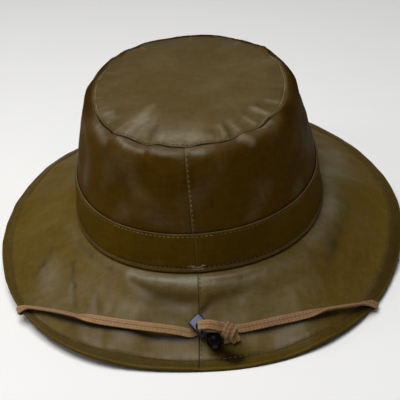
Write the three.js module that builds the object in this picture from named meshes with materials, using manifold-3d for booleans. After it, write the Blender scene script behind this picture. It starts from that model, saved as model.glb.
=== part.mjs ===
// A brimmed hat of waxed canvas that lies on its brim: an oval crown with a sewn-in flat tip, a band of the
// same canvas round its foot, a wide drooping brim, and a flat braided chin cord over the back of the brim.
// Millimetres. +X is the wearer's right, +Y the front of the hat and +Z up. The origin is on the ground
// under the middle of the brim.
import * as THREE from 'three';
import Module from 'manifold-3d';
import { mergeVertices } from 'three/addons/utils/BufferGeometryUtils.js';

const wasm = await Module();
wasm.setup();

// How the hat stands: the seam between crown and brim lies in one level plane above the ground.
const SEAM_HEIGHT = 39;
const MIDDLE = { x: 0.4, y: 0.4 };

// Canvas walls, the band laid over the crown, and the clearances that sewn neighbours keep.
const CLOTH = 2;
const BAND_CLOTH = 1.2;
const CLEAR = 0.3;
const SEAM_CLEAR = 0.5;
const BAND_HEIGHT = 28.9;

// How finely the shells are divided round the hat and across the brim, and a strand between its rows.
const AROUND = 64;
const STEPS_PER_ROW = 2;
const ACROSS_BRIM = [0, 0.1, 0.2, 0.32, 0.46, 0.62, 0.78, 0.87, 1];

// The crown's outer face from the seam with the brim up to the seam with the tip.
// square is how far each oval bulges at its four corners.
const CROWN_SECTIONS = [
  { up: 0, height: 0, halfWidth: 87.5, halfLength: 103, square: 0.062 },
  { up: 14, height: 14, halfWidth: 86.1, halfLength: 102.6, square: 0.05 },
  { up: 29, height: 29, halfWidth: 84.7, halfLength: 102.1, square: 0.038 },
  { up: 46, height: 46, halfWidth: 81.6, halfLength: 101.3, square: 0.036 },
  { up: 62, height: 62, halfWidth: 78.5, halfLength: 100.2, square: 0.036 },
  { up: 72, height: 71.8, halfWidth: 76.1, halfLength: 99, square: 0.036 },
  { up: 79.5, height: 79, halfWidth: 74, halfLength: 96.6, square: 0.036 },
  { up: 84, height: 82.2, halfWidth: 70.9, halfLength: 93, square: 0.036 },
  { up: 89, height: 83.5, halfWidth: 66.6, halfLength: 88.4, square: 0.036 },
];

// Broad soft dents of the crown's wall. out is how far the cloth stands out there, and each dent fades over
// wide degrees round the hat and high millimetres up the wall.
const CROWN_DENTS = [
  { angle: 25, across: 62, wide: 30, high: 22, out: -2.4 },
  { angle: 62, across: 86, wide: 24, high: 9, out: -1.8 },
  { angle: 165, across: 60, wide: 25, high: 20, out: -1 },
  { angle: 238, across: 60, wide: 9, high: 14, out: -1.2 },
  { angle: 300, across: 58, wide: 10, high: 16, out: -1.4 },
];

// The tip panel: how far its seam line lies inside and below the crown's upper edge, and how much its
// middle stands above the seam.
const TIP = { inside: 0.9, below: 0.2, rise: 1.6 };
const TIP_RINGS = [0.3, 0.6, 0.82, 0.94, 1];
const TIP_DENTS = [
  { angle: 235, across: 0.85, wide: 8, high: 0.12, out: 0.8 },
  { angle: 292, across: 0.85, wide: 7, high: 0.12, out: 0.8 },
];

// The brim: the oval where it leaves the band, its length down the slope, and how far its edge hangs below
// the seam plane round the hat.
const BRIM_FOOT = { halfWidth: 89, halfLength: 104.5, square: 0.062 };
const BRIM_LENGTH = 63.8;
const BRIM_DROP = [
  { angle: 0, drop: 26.8 },
  { angle: 30, drop: 25.2 },
  { angle: 45, drop: 22.6 },
  { angle: 60, drop: 22 },
  { angle: 75, drop: 36.4 },
  { angle: 90, drop: 37.6 },
  { angle: 105, drop: 36.8 },
  { angle: 120, drop: 27 },
  { angle: 135, drop: 24 },
  { angle: 150, drop: 24.3 },
  { angle: 180, drop: 25.4 },
  { angle: 210, drop: 28.4 },
  { angle: 225, drop: 30.8 },
  { angle: 240, drop: 32 },
  { angle: 255, drop: 36 },
  { angle: 270, drop: 37.4 },
  { angle: 285, drop: 37.2 },
  { angle: 300, drop: 35 },
  { angle: 330, drop: 34.7 },
  { angle: 345, drop: 30.8 },
];

// The drop from which the ground presses the brim flatter, and the one at which it lies full on the ground.
// At the back seam the hem also draws in a little.
const PRESSED = { fromDrop: 33.5, atDrop: 37.4 };
const BACK_TUCK = { angle: 263, wide: 18, shorter: 2.6 };

// How the drop is shared out from the crown (across 0) to the edge (across 1), where the brim hangs free
// at the sides and where it is pressed flat by the ground at the front and back.
const SLOPE = [
  { across: 0, free: 0, pressed: 0 },
  { across: 0.1, free: 0.07, pressed: 0.05 },
  { across: 0.2, free: 0.18, pressed: 0.2 },
  { across: 0.32, free: 0.33, pressed: 0.42 },
  { across: 0.46, free: 0.48, pressed: 0.61 },
  { across: 0.62, free: 0.65, pressed: 0.79 },
  { across: 0.78, free: 0.8, pressed: 0.94 },
  { across: 0.87, free: 0.88, pressed: 1 },
  { across: 1, free: 1, pressed: 1 },
];

// Broad folds of the brim. out is how far the cloth is lifted, and across runs from crown to edge.
const BRIM_DENTS = [
  { angle: 200, across: 0.7, wide: 9, high: 0.3, out: -1.2 },
  { angle: 345, across: 0.6, wide: 8, high: 0.3, out: -1.2 },
];

// The directions that the braid's flat side faces along its way, in the hat's axes.
const FACING = {
  underLeft: [0.32, 0.3, -0.9],
  underRight: [-0.36, 0.27, -0.9],
  down: [0, 0, -1],
  leftEdge: [-0.8, -0.5, -0.2],
  rightEdge: [0.75, -0.6, -0.2],
  leftBrim: [-0.32, -0.3, 0.9],
  rightBrim: [0.33, -0.27, 0.9],
  tilted: [0, 0.5, 0.86],
  back: [0, -0.6, 0.8],
};

// The chin cord, a flat braid. Each row is a place on its middle line, from where it is sewn in under the
// brim, round the brim's edge and across the back to the lock.
const CORD = { width: 5.7, thickness: 1.4 };
const LEFT_ROUTE = [
  { x: -86.2, y: -8, z: 35.8, faces: 'underLeft' },
  { x: -90.2, y: -17.4, z: 32.6, faces: 'underLeft' },
  { x: -104.9, y: -50, z: 21.1, faces: 'underLeft' },
  { x: -118.4, y: -80, z: 10.2, faces: 'underLeft' },
  { x: -121.8, y: -86.6, z: 7.6, faces: 'underLeft' },
  { x: -123.8, y: -88.6, z: 6.8, faces: 'underLeft' },
  { x: -125.2, y: -90, z: 8.2, faces: 'leftEdge' },
  { x: -124.9, y: -90.7, z: 10.2, faces: 'leftBrim' },
  { x: -122.8, y: -91.2, z: 11.5, faces: 'leftBrim' },
  { x: -115.8, y: -93.8, z: 14.2, faces: 'tilted' },
  { x: -104.5, y: -101, z: 17.2, faces: 'tilted' },
  { x: -93.6, y: -107.6, z: 19.2, faces: 'tilted' },
  { x: -83.1, y: -113.8, z: 20.4, faces: 'tilted' },
  { x: -73, y: -118.9, z: 21.1, faces: 'leftBrim' },
  { x: -63.2, y: -122.8, z: 21.2, faces: 'back' },
  { x: -50.4, y: -126.9, z: 20.9, faces: 'back' },
  { x: -37.8, y: -129.9, z: 20.1, faces: 'back' },
  { x: -25.4, y: -131.2, z: 18, faces: 'back' },
  { x: -16.3, y: -131.6, z: 15.7, faces: 'back' },
];
const RIGHT_ROUTE = [
  { x: 86.9, y: -10, z: 35.8, faces: 'underRight' },
  { x: 88.8, y: -18.4, z: 32.8, faces: 'underRight' },
  { x: 98, y: -58, z: 18.2, faces: 'underRight' },
  { x: 105.4, y: -94, z: 4.3, faces: 'underRight' },
  { x: 106.7, y: -101.2, z: 1.5, faces: 'down' },
  { x: 109.3, y: -104.7, z: 1.1, faces: 'down' },
  { x: 111, y: -106.3, z: 2.5, faces: 'rightEdge' },
  { x: 110.7, y: -106.8, z: 4.5, faces: 'rightBrim' },
  { x: 108.4, y: -107.4, z: 6.3, faces: 'rightBrim' },
  { x: 99.9, y: -110.7, z: 9.6, faces: 'tilted' },
  { x: 90.1, y: -115.2, z: 12.6, faces: 'tilted' },
  { x: 76, y: -120.6, z: 15.4, faces: 'tilted' },
  { x: 64.8, y: -124.1, z: 15.4, faces: 'rightBrim' },
  { x: 53.2, y: -126.2, z: 15, faces: 'back' },
  { x: 43.6, y: -127.8, z: 14.8, faces: 'back' },
  { x: 34, y: -129.3, z: 14.3, faces: 'back' },
];

// The braid's section as shares of its width and thickness.
const BRAID_SECTION = [
  { side: 0.5, rise: -0.2 },
  { side: 0.5, rise: 0.2 },
  { side: 0.4, rise: 0.5 },
  { side: -0.4, rise: 0.5 },
  { side: -0.5, rise: 0.2 },
  { side: -0.5, rise: -0.2 },
  { side: -0.4, rise: -0.5 },
  { side: 0.4, rise: -0.5 },
];

// The cord lock lies on the brim at its seat, which slopes down to the back. Places near it are measured
// from the seat: x to the right, y up the slope and z off the cloth. Both strands come up through its hole.
const LOCK_SEAT = { x: -2.5, y: -129.1, z: 13.7, slope: 42 };
const FACING_AT_LOCK = { off: [0, 0, 1], left: [-1, 0, 0], right: [1, 0, 0], onto: [0, 0, -1] };
const LEFT_AT_LOCK = [
  { x: -7.6, y: -2, z: 1.7, faces: 'off' },
  { x: -3.4, y: -0.8, z: 1.5, faces: 'off' },
  { x: -1.3, y: -0.2, z: 1.8, faces: 'left' },
  { x: -0.95, y: 0, z: 3, faces: 'left' },
  { x: -0.95, y: 0, z: 11.8, faces: 'left' },
  { x: -0.3, y: 0.4, z: 14.2, faces: 'left' },
  { x: 1.8, y: 0.7, z: 15.3, faces: 'off' },
  { x: 6, y: 0.4, z: 14.7, faces: 'off' },
  { x: 9.8, y: -0.4, z: 12.5, faces: 'off' },
  { x: 11.3, y: -0.8, z: 10.3, faces: 'right' },
];
const RIGHT_AT_LOCK = [
  { x: 23.7, y: -1.4, z: 1.2, faces: 'off' },
  { x: 8, y: -0.6, z: 1.1, faces: 'off' },
  { x: 3.3, y: -0.1, z: 1.1, faces: 'off' },
  { x: 1.35, y: 0, z: 1.6, faces: 'right' },
  { x: 0.95, y: 0, z: 3, faces: 'right' },
  { x: 0.95, y: 0, z: 11.2, faces: 'right' },
  { x: 1.6, y: -0.3, z: 12.3, faces: 'right' },
  { x: 3.6, y: -1, z: 12.7, faces: 'onto' },
  { x: 6.2, y: -1.2, z: 12.1, faces: 'onto' },
  { x: 7.9, y: -0.8, z: 10.6, faces: 'onto' },
  { x: 8.6, y: -0.4, z: 9, faces: 'left' },
];

// The lock's body stands on the strands, with a round cord hole through it from below and a button whose
// stem reaches in from one end. Distances along its axis are measured from the hole.
const LOCK = {
  axisTurn: -50,
  lift: 2.6,
  width: 9.6,
  height: 8.6,
  back: 7.9,
  front: 5.2,
  corner: 2.6,
  bevel: 0.8,
};
const CORD_HOLE_RADIUS = 3.7;
const STEM = { radius: 2, from: 3.6, bore: 2.4 };
const BALL = { radius: 5, at: 10.9 };

// Steps round the lock's curves.
const LOCK_STEPS = { corner: 4, bevel: 2, hole: 20, bore: 16, ball: 16, ballSide: 8 };

// The overhand knot in both strands, and the flat tails below it, each from a start to a cut end.
const KNOT = { x: 15.1, y: -2.2, z: 6, halfWidth: 5, halfHeight: 5, halfDepth: 3.2 };
const KNOT_STEPS = { around: 14, down: 9 };
const TAILS = [
  { from: [15.2, -4, 5.2], to: [15.9, -11.4, 2.2] },
  { from: [18, -3.4, 5.8], to: [20.9, -11.2, 3] },
];

// Small steps in which a surface's slopes are measured: degrees round the hat, millimetres up the wall and
// shares of the way across the brim.
const SLOPE_STEP = { degrees: 0.4, up: 1, across: -0.02 };

/** A smooth curve through a table's rows, read at one place. A closed table repeats after a full turn. */
function readTable(rows, key, value, at, turn = 0) {
  const count = rows.length;
  const place = turn ? ((at % turn) + turn) % turn : at;
  let low = 0;
  while (low < count - 2 + (turn ? 1 : 0) && rows[low + 1][key] <= place) low += 1;
  const row = (index) => {
    const wrapped = turn ? ((index % count) + count) % count : Math.min(Math.max(index, 0), count - 1);
    const laps = turn ? Math.floor(index / count) : 0;
    return { at: rows[wrapped][key] + laps * turn, value: rows[wrapped][value] };
  };
  const [before, from, to, after] = [row(low - 1), row(low), row(low + 1), row(low + 2)];
  const span = to.at - from.at;
  const step = (place - from.at) / span;
  const startSlope = (to.value - before.value) / Math.max(to.at - before.at, span);
  const endSlope = (after.value - from.value) / Math.max(after.at - from.at, span);
  return (
    (2 * step ** 3 - 3 * step ** 2 + 1) * from.value +
    (step ** 3 - 2 * step ** 2 + step) * span * startSlope +
    (3 * step ** 2 - 2 * step ** 3) * to.value +
    (step ** 3 - step ** 2) * span * endSlope
  );
}

/** A smooth step from 0 at low to 1 at high. */
function fade(value, low, high) {
  const step = Math.min(Math.max((value - low) / (high - low), 0), 1);
  return step * step * (3 - 2 * step);
}

/** A point of an oval in plan, and the direction that points straight out of it there. */
function oval(section, angle) {
  const at = (degrees) => {
    const turned = THREE.MathUtils.degToRad(degrees);
    const [cosine, sine] = [Math.cos(turned), Math.sin(turned)];
    return new THREE.Vector2(
      section.halfWidth * cosine * (1 + section.square * sine ** 2),
      section.halfLength * sine * (1 + section.square * cosine ** 2),
    );
  };
  const along = at(angle + SLOPE_STEP.degrees).sub(at(angle - SLOPE_STEP.degrees));
  return { place: at(angle), out: new THREE.Vector2(along.y, -along.x).normalize() };
}

/** The sum of a table's soft dents at a place: each is a bell that fades over its own spans. */
function dentsAt(rows, angle, across) {
  return rows.reduce((sum, row) => {
    const turned = ((angle - row.angle + 540) % 360) - 180;
    return sum + row.out * Math.exp(-((turned / row.wide) ** 2) - ((across - row.across) / row.high) ** 2);
  }, 0);
}

/** A surface's point moved along its outward normal. step is the small way that goes up the surface. */
function offset(surface, angle, along, step, distance) {
  const around = surface(angle + SLOPE_STEP.degrees, along).sub(surface(angle - SLOPE_STEP.degrees, along));
  const upward = surface(angle, along + step).sub(surface(angle, along - step));
  const normal = around.cross(upward).normalize();
  return surface(angle, along).addScaledVector(normal, distance);
}

/** A point of the hat, measured from the middle of the seam between crown and brim. */
const place = (x, y, z) => new THREE.Vector3(x + MIDDLE.x, y + MIDDLE.y, z + SEAM_HEIGHT);

/** The crown's outer face. up is the distance along the wall from the seam with the brim. */
function crownPoint(angle, up) {
  const section = {
    halfWidth: readTable(CROWN_SECTIONS, 'up', 'halfWidth', up),
    halfLength: readTable(CROWN_SECTIONS, 'up', 'halfLength', up),
    square: readTable(CROWN_SECTIONS, 'up', 'square', up),
  };
  const edge = oval(section, angle);
  const dent = dentsAt(CROWN_DENTS, angle, up);
  return place(
    edge.place.x + edge.out.x * dent,
    edge.place.y + edge.out.y * dent,
    readTable(CROWN_SECTIONS, 'up', 'height', up),
  );
}

/** The tip panel's top face, from its middle (out 0) to its seam (out 1). */
function tipPoint(angle, out) {
  const crownTop = CROWN_SECTIONS[CROWN_SECTIONS.length - 1];
  const edge = oval(crownTop, angle);
  const inset = dentsAt(CROWN_DENTS, angle, crownTop.up) - TIP.inside;
  const rise = TIP.rise * (1 - out ** 4) + dentsAt(TIP_DENTS, angle, out);
  return place(
    (edge.place.x + edge.out.x * inset) * out,
    (edge.place.y + edge.out.y * inset) * out,
    crownTop.height - TIP.below + rise,
  );
}

/** The brim's top face, from the foot of the band (across 0) to its edge (across 1). */
function brimPoint(angle, across) {
  const foot = oval(BRIM_FOOT, angle);
  const drop = readTable(BRIM_DROP, 'angle', 'drop', angle, 360);
  const pressed = fade(drop, PRESSED.fromDrop, PRESSED.atDrop);
  const tuck = BACK_TUCK.shorter * Math.exp(-(((angle - BACK_TUCK.angle) / BACK_TUCK.wide) ** 2));
  const reach = Math.sqrt((BRIM_LENGTH - tuck) ** 2 - drop ** 2);
  const free = readTable(SLOPE, 'across', 'free', across);
  const share = free + pressed * (readTable(SLOPE, 'across', 'pressed', across) - free);
  const lift = dentsAt(BRIM_DENTS, angle, across);
  return place(
    foot.place.x + foot.out.x * reach * across,
    foot.place.y + foot.out.y * reach * across,
    lift - drop * share,
  );
}

/** One closed ring of points round the hat, from a function of the angle. */
function ring(pointAt) {
  return Array.from({ length: AROUND }, (_, index) => pointAt((index * 360) / AROUND));
}

/** Points and triangles from rows of points, each row joined to the next. */
function skin(rows, { rowsClose, pointsClose }) {
  const count = rows[0].length;
  const points = rows.flat();
  const triangles = [];
  const rowSteps = rowsClose ? rows.length : rows.length - 1;
  const pointSteps = pointsClose ? count : count - 1;
  for (let row = 0; row < rowSteps; row += 1) {
    for (let step = 0; step < pointSteps; step += 1) {
      const here = row * count + step;
      const next = row * count + ((step + 1) % count);
      const above = ((row + 1) % rows.length) * count + step;
      const across = ((row + 1) % rows.length) * count + ((step + 1) % count);
      triangles.push(here, next, across, here, across, above);
    }
  }
  return { points, triangles };
}

/** Closes an open end of a skin with a fan round the middle of its row. */
function capEnd(shell, rows, row, forward) {
  const count = rows[0].length;
  const middle = rows[row].reduce((sum, point) => sum.add(point), new THREE.Vector3()).divideScalar(count);
  const centre = shell.points.push(middle) - 1;
  for (let step = 0; step < count; step += 1) {
    const here = row * count + step;
    const next = row * count + ((step + 1) % count);
    shell.triangles.push(centre, ...(forward ? [here, next] : [next, here]));
  }
}

/** A closed mesh geometry whose faces point out, from points and triangles. */
function solidFrom({ points, triangles }) {
  const volume = triangles.reduce((sum, _, index) => {
    if (index % 3) return sum;
    const [a, b, c] = [0, 1, 2].map((corner) => points[triangles[index + corner]]);
    return sum + a.dot(new THREE.Vector3().crossVectors(b, c));
  }, 0);
  const facing = volume > 0 ? triangles : [...triangles].reverse();
  const geometry = new THREE.BufferGeometry();
  const places = points.flatMap((point) => point.toArray());
  geometry.setAttribute('position', new THREE.Float32BufferAttribute(places, 3));
  geometry.setIndex(facing);
  geometry.computeVertexNormals();
  return geometry;
}

/** A wall that runs all the way round the hat, from its section's rows of points in order. */
const ringSolid = (rows) => solidFrom(skin(rows, { rowsClose: true, pointsClose: true }));

/** A solid swept along rows of points, each row a closed section, with its two ends capped. */
function sweptSolid(rows) {
  const shell = skin(rows, { rowsClose: false, pointsClose: true });
  capEnd(shell, rows, 0, false);
  capEnd(shell, rows, rows.length - 1, true);
  return solidFrom(shell);
}

/** A ring of points at one height of the crown's wall, set off from its outer face. */
function crownLayer(up, distance) {
  return ring((angle) => offset(crownPoint, angle, up, SLOPE_STEP.up, distance));
}

/** The crown's wall, closed round the hat and open above and below. */
function crownSide() {
  const ups = [SEAM_CLEAR, ...CROWN_SECTIONS.slice(1).map((row) => row.up)];
  const outer = ups.map((up) => ring((angle) => crownPoint(angle, up)));
  const inner = ups.map((up) => crownLayer(up, -CLOTH));
  return ringSolid([...outer, ...inner.reverse()]);
}

/** The tip panel, a thin oval that bulges a little. */
function crownTip() {
  const top = TIP_RINGS.map((out) => ring((angle) => tipPoint(angle, out)));
  const under = top.map((row) => row.map((point) => point.clone().setZ(point.z - CLOTH)));
  return sweptSolid([...top, ...under.reverse()]);
}

/** The band round the foot of the crown's wall. */
function hatBand() {
  const ups = [2 * CLEAR, BAND_HEIGHT / 2, BAND_HEIGHT];
  const outer = ups.map((up) => crownLayer(up, CLEAR + BAND_CLOTH));
  const inner = ups.map((up) => crownLayer(up, CLEAR));
  return ringSolid([...outer, ...inner.reverse()]);
}

/** The brim, with its underside flat where the ground presses it, and its margin under the crown. */
function brim() {
  const margin = CLOTH + CLEAR + BAND_CLOTH;
  const inward = (angle, drop) => {
    const foot = oval(BRIM_FOOT, angle);
    return place(foot.place.x - foot.out.x * margin, foot.place.y - foot.out.y * margin, -drop);
  };
  const below = (angle, across) => {
    const point = offset(brimPoint, angle, across, SLOPE_STEP.across, -CLOTH);
    return point.setZ(Math.max(point.z, 0));
  };
  const top = ACROSS_BRIM.map((across) => ring((angle) => brimPoint(angle, across)));
  const under = ACROSS_BRIM.map((across) => ring((angle) => below(angle, across)));
  const marginTop = ring((angle) => inward(angle, 0));
  const marginUnder = ring((angle) => inward(angle, CLOTH));
  return ringSolid([marginTop, ...top, ...under.reverse(), marginUnder]);
}

/** The braid's section round a point of its middle line. */
function braidSection(middle, sideways, outward) {
  return BRAID_SECTION.map(({ side, rise }) => middle.clone()
    .addScaledVector(sideways, side * CORD.width)
    .addScaledVector(outward, rise * CORD.thickness));
}

/** A smooth braid through route rows, with its flat side turned from each row's facing to the next. */
function braid(route) {
  const middles = route.map((row) => row.middle);
  const curve = new THREE.CatmullRomCurve3(middles, false, 'centripetal');
  const steps = (route.length - 1) * STEPS_PER_ROW;
  const rows = [];
  for (let step = 0; step <= steps; step += 1) {
    const along = curve.getTangent(step / steps);
    const from = Math.min(Math.floor(step / STEPS_PER_ROW), route.length - 2);
    const share = step / STEPS_PER_ROW - from;
    const outward = route[from].faces.clone().lerp(route[from + 1].faces, share);
    outward.addScaledVector(along, -outward.dot(along)).normalize();
    const sideways = new THREE.Vector3().crossVectors(along, outward);
    rows.push(braidSection(curve.getPoint(step / steps), sideways, outward));
  }
  return sweptSolid(rows);
}

/** A closed geometry as a solid that can be cut and joined. */
function toSolid(geometry) {
  const bare = geometry.clone();
  bare.deleteAttribute('normal');
  bare.deleteAttribute('uv');
  const merged = mergeVertices(bare);
  return new wasm.Manifold(new wasm.Mesh({
    numProp: 3,
    vertProperties: new Float32Array(merged.attributes.position.array),
    triVerts: new Uint32Array(merged.index.array),
  }));
}

/** A cut or joined solid as a geometry again. */
function toGeometry(solid) {
  const mesh = solid.getMesh();
  const geometry = new THREE.BufferGeometry();
  geometry.setAttribute('position', new THREE.BufferAttribute(new Float32Array(mesh.vertProperties), 3));
  geometry.setIndex([...mesh.triVerts]);
  geometry.computeVertexNormals();
  return geometry;
}

/** A round pin along Y through the origin. */
const pin = (radius, length, steps) => new THREE.CylinderGeometry(radius, radius, length, steps);

/** The lock's body, its axis along X and its cord hole along Z through the origin. */
function lockBody() {
  const [halfWidth, halfHeight] = [LOCK.width / 2 - LOCK.bevel, LOCK.height / 2 - LOCK.bevel];
  const round = LOCK.corner - LOCK.bevel;
  const outline = new THREE.Shape();
  outline.absarc(halfWidth - round, halfHeight - round, round, 0, Math.PI / 2);
  outline.absarc(round - halfWidth, halfHeight - round, round, Math.PI / 2, Math.PI);
  outline.absarc(round - halfWidth, round - halfHeight, round, Math.PI, 1.5 * Math.PI);
  outline.absarc(halfWidth - round, round - halfHeight, round, 1.5 * Math.PI, 2 * Math.PI);
  const length = LOCK.back + LOCK.front;
  const shell = new THREE.ExtrudeGeometry(outline, {
    depth: length - 2 * LOCK.bevel,
    bevelThickness: LOCK.bevel,
    bevelSize: LOCK.bevel,
    bevelSegments: LOCK_STEPS.bevel,
    curveSegments: LOCK_STEPS.corner,
  });
  shell.rotateZ(Math.PI / 2).rotateY(Math.PI / 2).translate(LOCK.bevel - LOCK.back, 0, 0);
  const hole = pin(CORD_HOLE_RADIUS, 2 * LOCK.height, LOCK_STEPS.hole).rotateX(Math.PI / 2);
  const bore = pin(STEM.bore, 2 * LOCK.front, LOCK_STEPS.bore).rotateZ(Math.PI / 2);
  bore.translate(LOCK.front, 0, 0);
  return toGeometry(toSolid(shell).subtract(toSolid(hole)).subtract(toSolid(bore)));
}

/** The button: a ball on a stem that reaches through the body's end to the strands. */
function lockButton() {
  const start = Math.asin(STEM.radius / BALL.radius);
  const profile = [new THREE.Vector2(0, STEM.from), new THREE.Vector2(STEM.radius, STEM.from)];
  for (let step = 0; step < LOCK_STEPS.ballSide; step += 1) {
    const swung = start + ((Math.PI - start) * step) / LOCK_STEPS.ballSide;
    const radius = BALL.radius * Math.sin(swung);
    profile.push(new THREE.Vector2(radius, BALL.at - BALL.radius * Math.cos(swung)));
  }
  profile.push(new THREE.Vector2(0, BALL.at + BALL.radius));
  return new THREE.LatheGeometry(profile, LOCK_STEPS.ball).rotateZ(-Math.PI / 2);
}

/** The knot's round mass joined with its two flat tails. */
function knot() {
  const mass = new THREE.SphereGeometry(1, KNOT_STEPS.around, KNOT_STEPS.down);
  mass.scale(KNOT.halfWidth, KNOT.halfHeight, KNOT.halfDepth);
  mass.translate(KNOT.x, KNOT.y, KNOT.z);
  const tails = TAILS.map(({ from, to }) => {
    const [start, end] = [new THREE.Vector3(...from), new THREE.Vector3(...to)];
    const along = end.clone().sub(start).normalize();
    const sideways = new THREE.Vector3(0, 0, 1).cross(along).normalize();
    const outward = along.clone().cross(sideways);
    return sweptSolid([start, end].map((middle) => braidSection(middle, sideways, outward)));
  });
  return toGeometry(tails.reduce((joined, tail) => joined.add(toSolid(tail)), toSolid(mass)));
}

const waxedCanvas = new THREE.MeshStandardMaterial({ color: 0x53431b, roughness: 0.55, metalness: 0 });
const braidedCord = new THREE.MeshStandardMaterial({ color: 0x84643a, roughness: 0.75, metalness: 0 });
const blackPlastic = new THREE.MeshStandardMaterial({ color: 0x17181c, roughness: 0.3, metalness: 0 });

const hat = new THREE.Group();
const atSeat = new THREE.Group();
atSeat.position.set(LOCK_SEAT.x, LOCK_SEAT.y, LOCK_SEAT.z);
atSeat.rotation.x = THREE.MathUtils.degToRad(LOCK_SEAT.slope);
hat.add(atSeat);
const lock = new THREE.Group();
lock.position.z = LOCK.lift + LOCK.height / 2;
lock.rotation.z = THREE.MathUtils.degToRad(LOCK.axisTurn);
atSeat.add(lock);
atSeat.updateMatrixWorld(true);

/** Route rows as places and facings of the whole hat. */
function onHat(rows) {
  return rows.map((row) => ({
    middle: new THREE.Vector3(row.x, row.y, row.z),
    faces: new THREE.Vector3(...FACING[row.faces]),
  }));
}

/** Route rows measured at the lock's seat, as places and facings of the whole hat. */
function fromSeat(rows) {
  return rows.map((row) => ({
    middle: new THREE.Vector3(row.x, row.y, row.z).applyMatrix4(atSeat.matrixWorld),
    faces: new THREE.Vector3(...FACING_AT_LOCK[row.faces]).applyQuaternion(atSeat.quaternion),
  }));
}

/** Adds one named piece to a group. */
function addPiece(group, name, geometry, material) {
  const mesh = new THREE.Mesh(geometry, material);
  mesh.name = name;
  group.add(mesh);
}

addPiece(hat, 'crown_tip', crownTip(), waxedCanvas);
addPiece(hat, 'crown_side', crownSide(), waxedCanvas);
addPiece(hat, 'hat_band', hatBand(), waxedCanvas);
addPiece(hat, 'brim', brim(), waxedCanvas);
addPiece(hat, 'chin_cord_left', braid([...onHat(LEFT_ROUTE), ...fromSeat(LEFT_AT_LOCK)]), braidedCord);
addPiece(hat, 'chin_cord_right', braid([...onHat(RIGHT_ROUTE), ...fromSeat(RIGHT_AT_LOCK)]), braidedCord);
addPiece(atSeat, 'chin_cord_knot', knot(), braidedCord);
addPiece(lock, 'cord_lock_body', lockBody(), blackPlastic);
addPiece(lock, 'cord_lock_button', lockButton(), blackPlastic);

export default hat;
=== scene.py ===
"""A waxed canvas hat lying on its brim on a pale studio floor.

The cloth of the hat is worked out with numpy as surfaces over two parameters: the angle round the hat and the
way along the wall, the tip or the brim. Sizes are millimetres in the classes and metres in the meshes.
+X is the wearer's right, +Y the front of the hat and +Z up.
"""
import logging
import math
from collections.abc import Callable
from dataclasses import dataclass, field
from enum import Enum

import bpy
import numpy as np
from mathutils import Matrix, Vector


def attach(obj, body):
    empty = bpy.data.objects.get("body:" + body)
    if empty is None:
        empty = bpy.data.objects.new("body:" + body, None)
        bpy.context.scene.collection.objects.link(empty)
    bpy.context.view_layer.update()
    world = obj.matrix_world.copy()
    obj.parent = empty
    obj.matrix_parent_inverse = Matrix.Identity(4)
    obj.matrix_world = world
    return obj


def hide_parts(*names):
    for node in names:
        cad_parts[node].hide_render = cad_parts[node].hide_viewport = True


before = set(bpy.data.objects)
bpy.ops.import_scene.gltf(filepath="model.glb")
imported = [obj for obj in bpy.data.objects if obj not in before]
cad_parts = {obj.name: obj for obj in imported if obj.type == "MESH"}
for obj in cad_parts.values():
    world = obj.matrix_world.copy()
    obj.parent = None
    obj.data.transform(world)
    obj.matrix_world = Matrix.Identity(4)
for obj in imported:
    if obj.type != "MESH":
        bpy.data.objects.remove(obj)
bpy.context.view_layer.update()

log = logging.getLogger("hat")

Array = np.ndarray
Rows = tuple[tuple[float, ...], ...]
Point = tuple[float, float, float]
Colour = tuple[float, float, float, float]
Surface = Callable[[Array, Array], Array]
Material, Mesh, Object = bpy.types.Material, bpy.types.Mesh, bpy.types.Object
Socket, Outputs, Tree = bpy.types.NodeSocket, bpy.types.NodeOutputs, bpy.types.NodeTree
MM = 0.001
TURN = 2 * math.pi


class Slot(Enum):
    """The record's material slots."""

    CANVAS = "waxed_canvas"
    CORD = "braided_cord"
    PLASTIC = "black_plastic"


class Facing(Enum):
    """Directions that the braid's flat side faces along its way, in the hat's axes."""

    UNDER_LEFT = (0.32, 0.3, -0.9)
    UNDER_RIGHT = (-0.36, 0.27, -0.9)
    DOWN = (0, 0, -1)
    LEFT_EDGE = (-0.8, -0.5, -0.2)
    RIGHT_EDGE = (0.75, -0.6, -0.2)
    LEFT_BRIM = (-0.32, -0.3, 0.9)
    RIGHT_BRIM = (0.33, -0.27, 0.9)
    TILTED = (0, 0.5, 0.86)
    BACK = (0, -0.6, 0.8)


class SeatFacing(Enum):
    """Directions that the braid's flat side faces near the lock, in the axes of the lock's seat."""

    OFF = (0.0, 0.0, 1.0)
    LEFT = (-1.0, 0.0, 0.0)
    RIGHT = (1.0, 0.0, 0.0)
    ONTO = (0.0, 0.0, -1.0)


# Numbers on arrays


def unit(vectors: Array) -> Array:
    """Vectors divided by their lengths."""
    return vectors / np.linalg.norm(vectors, axis=-1, keepdims=True)


def fade(value: Array, low: float, high: float) -> Array:
    """A smooth step from 0 at low to 1 at high."""
    step = np.clip((value - low) / (high - low), 0.0, 1.0)
    return step * step * (3 - 2 * step)


def bell(distance: Array, wide: float) -> Array:
    """A bell that is 1 at distance 0 and has faded to 1/e at wide."""
    return np.exp(-((distance / wide) ** 2))


def apart(angle: Array, other: float) -> Array:
    """How far one angle lies from another, in degrees from -180 to 180."""
    return np.mod(angle - other + 540.0, 360.0) - 180.0


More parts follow.
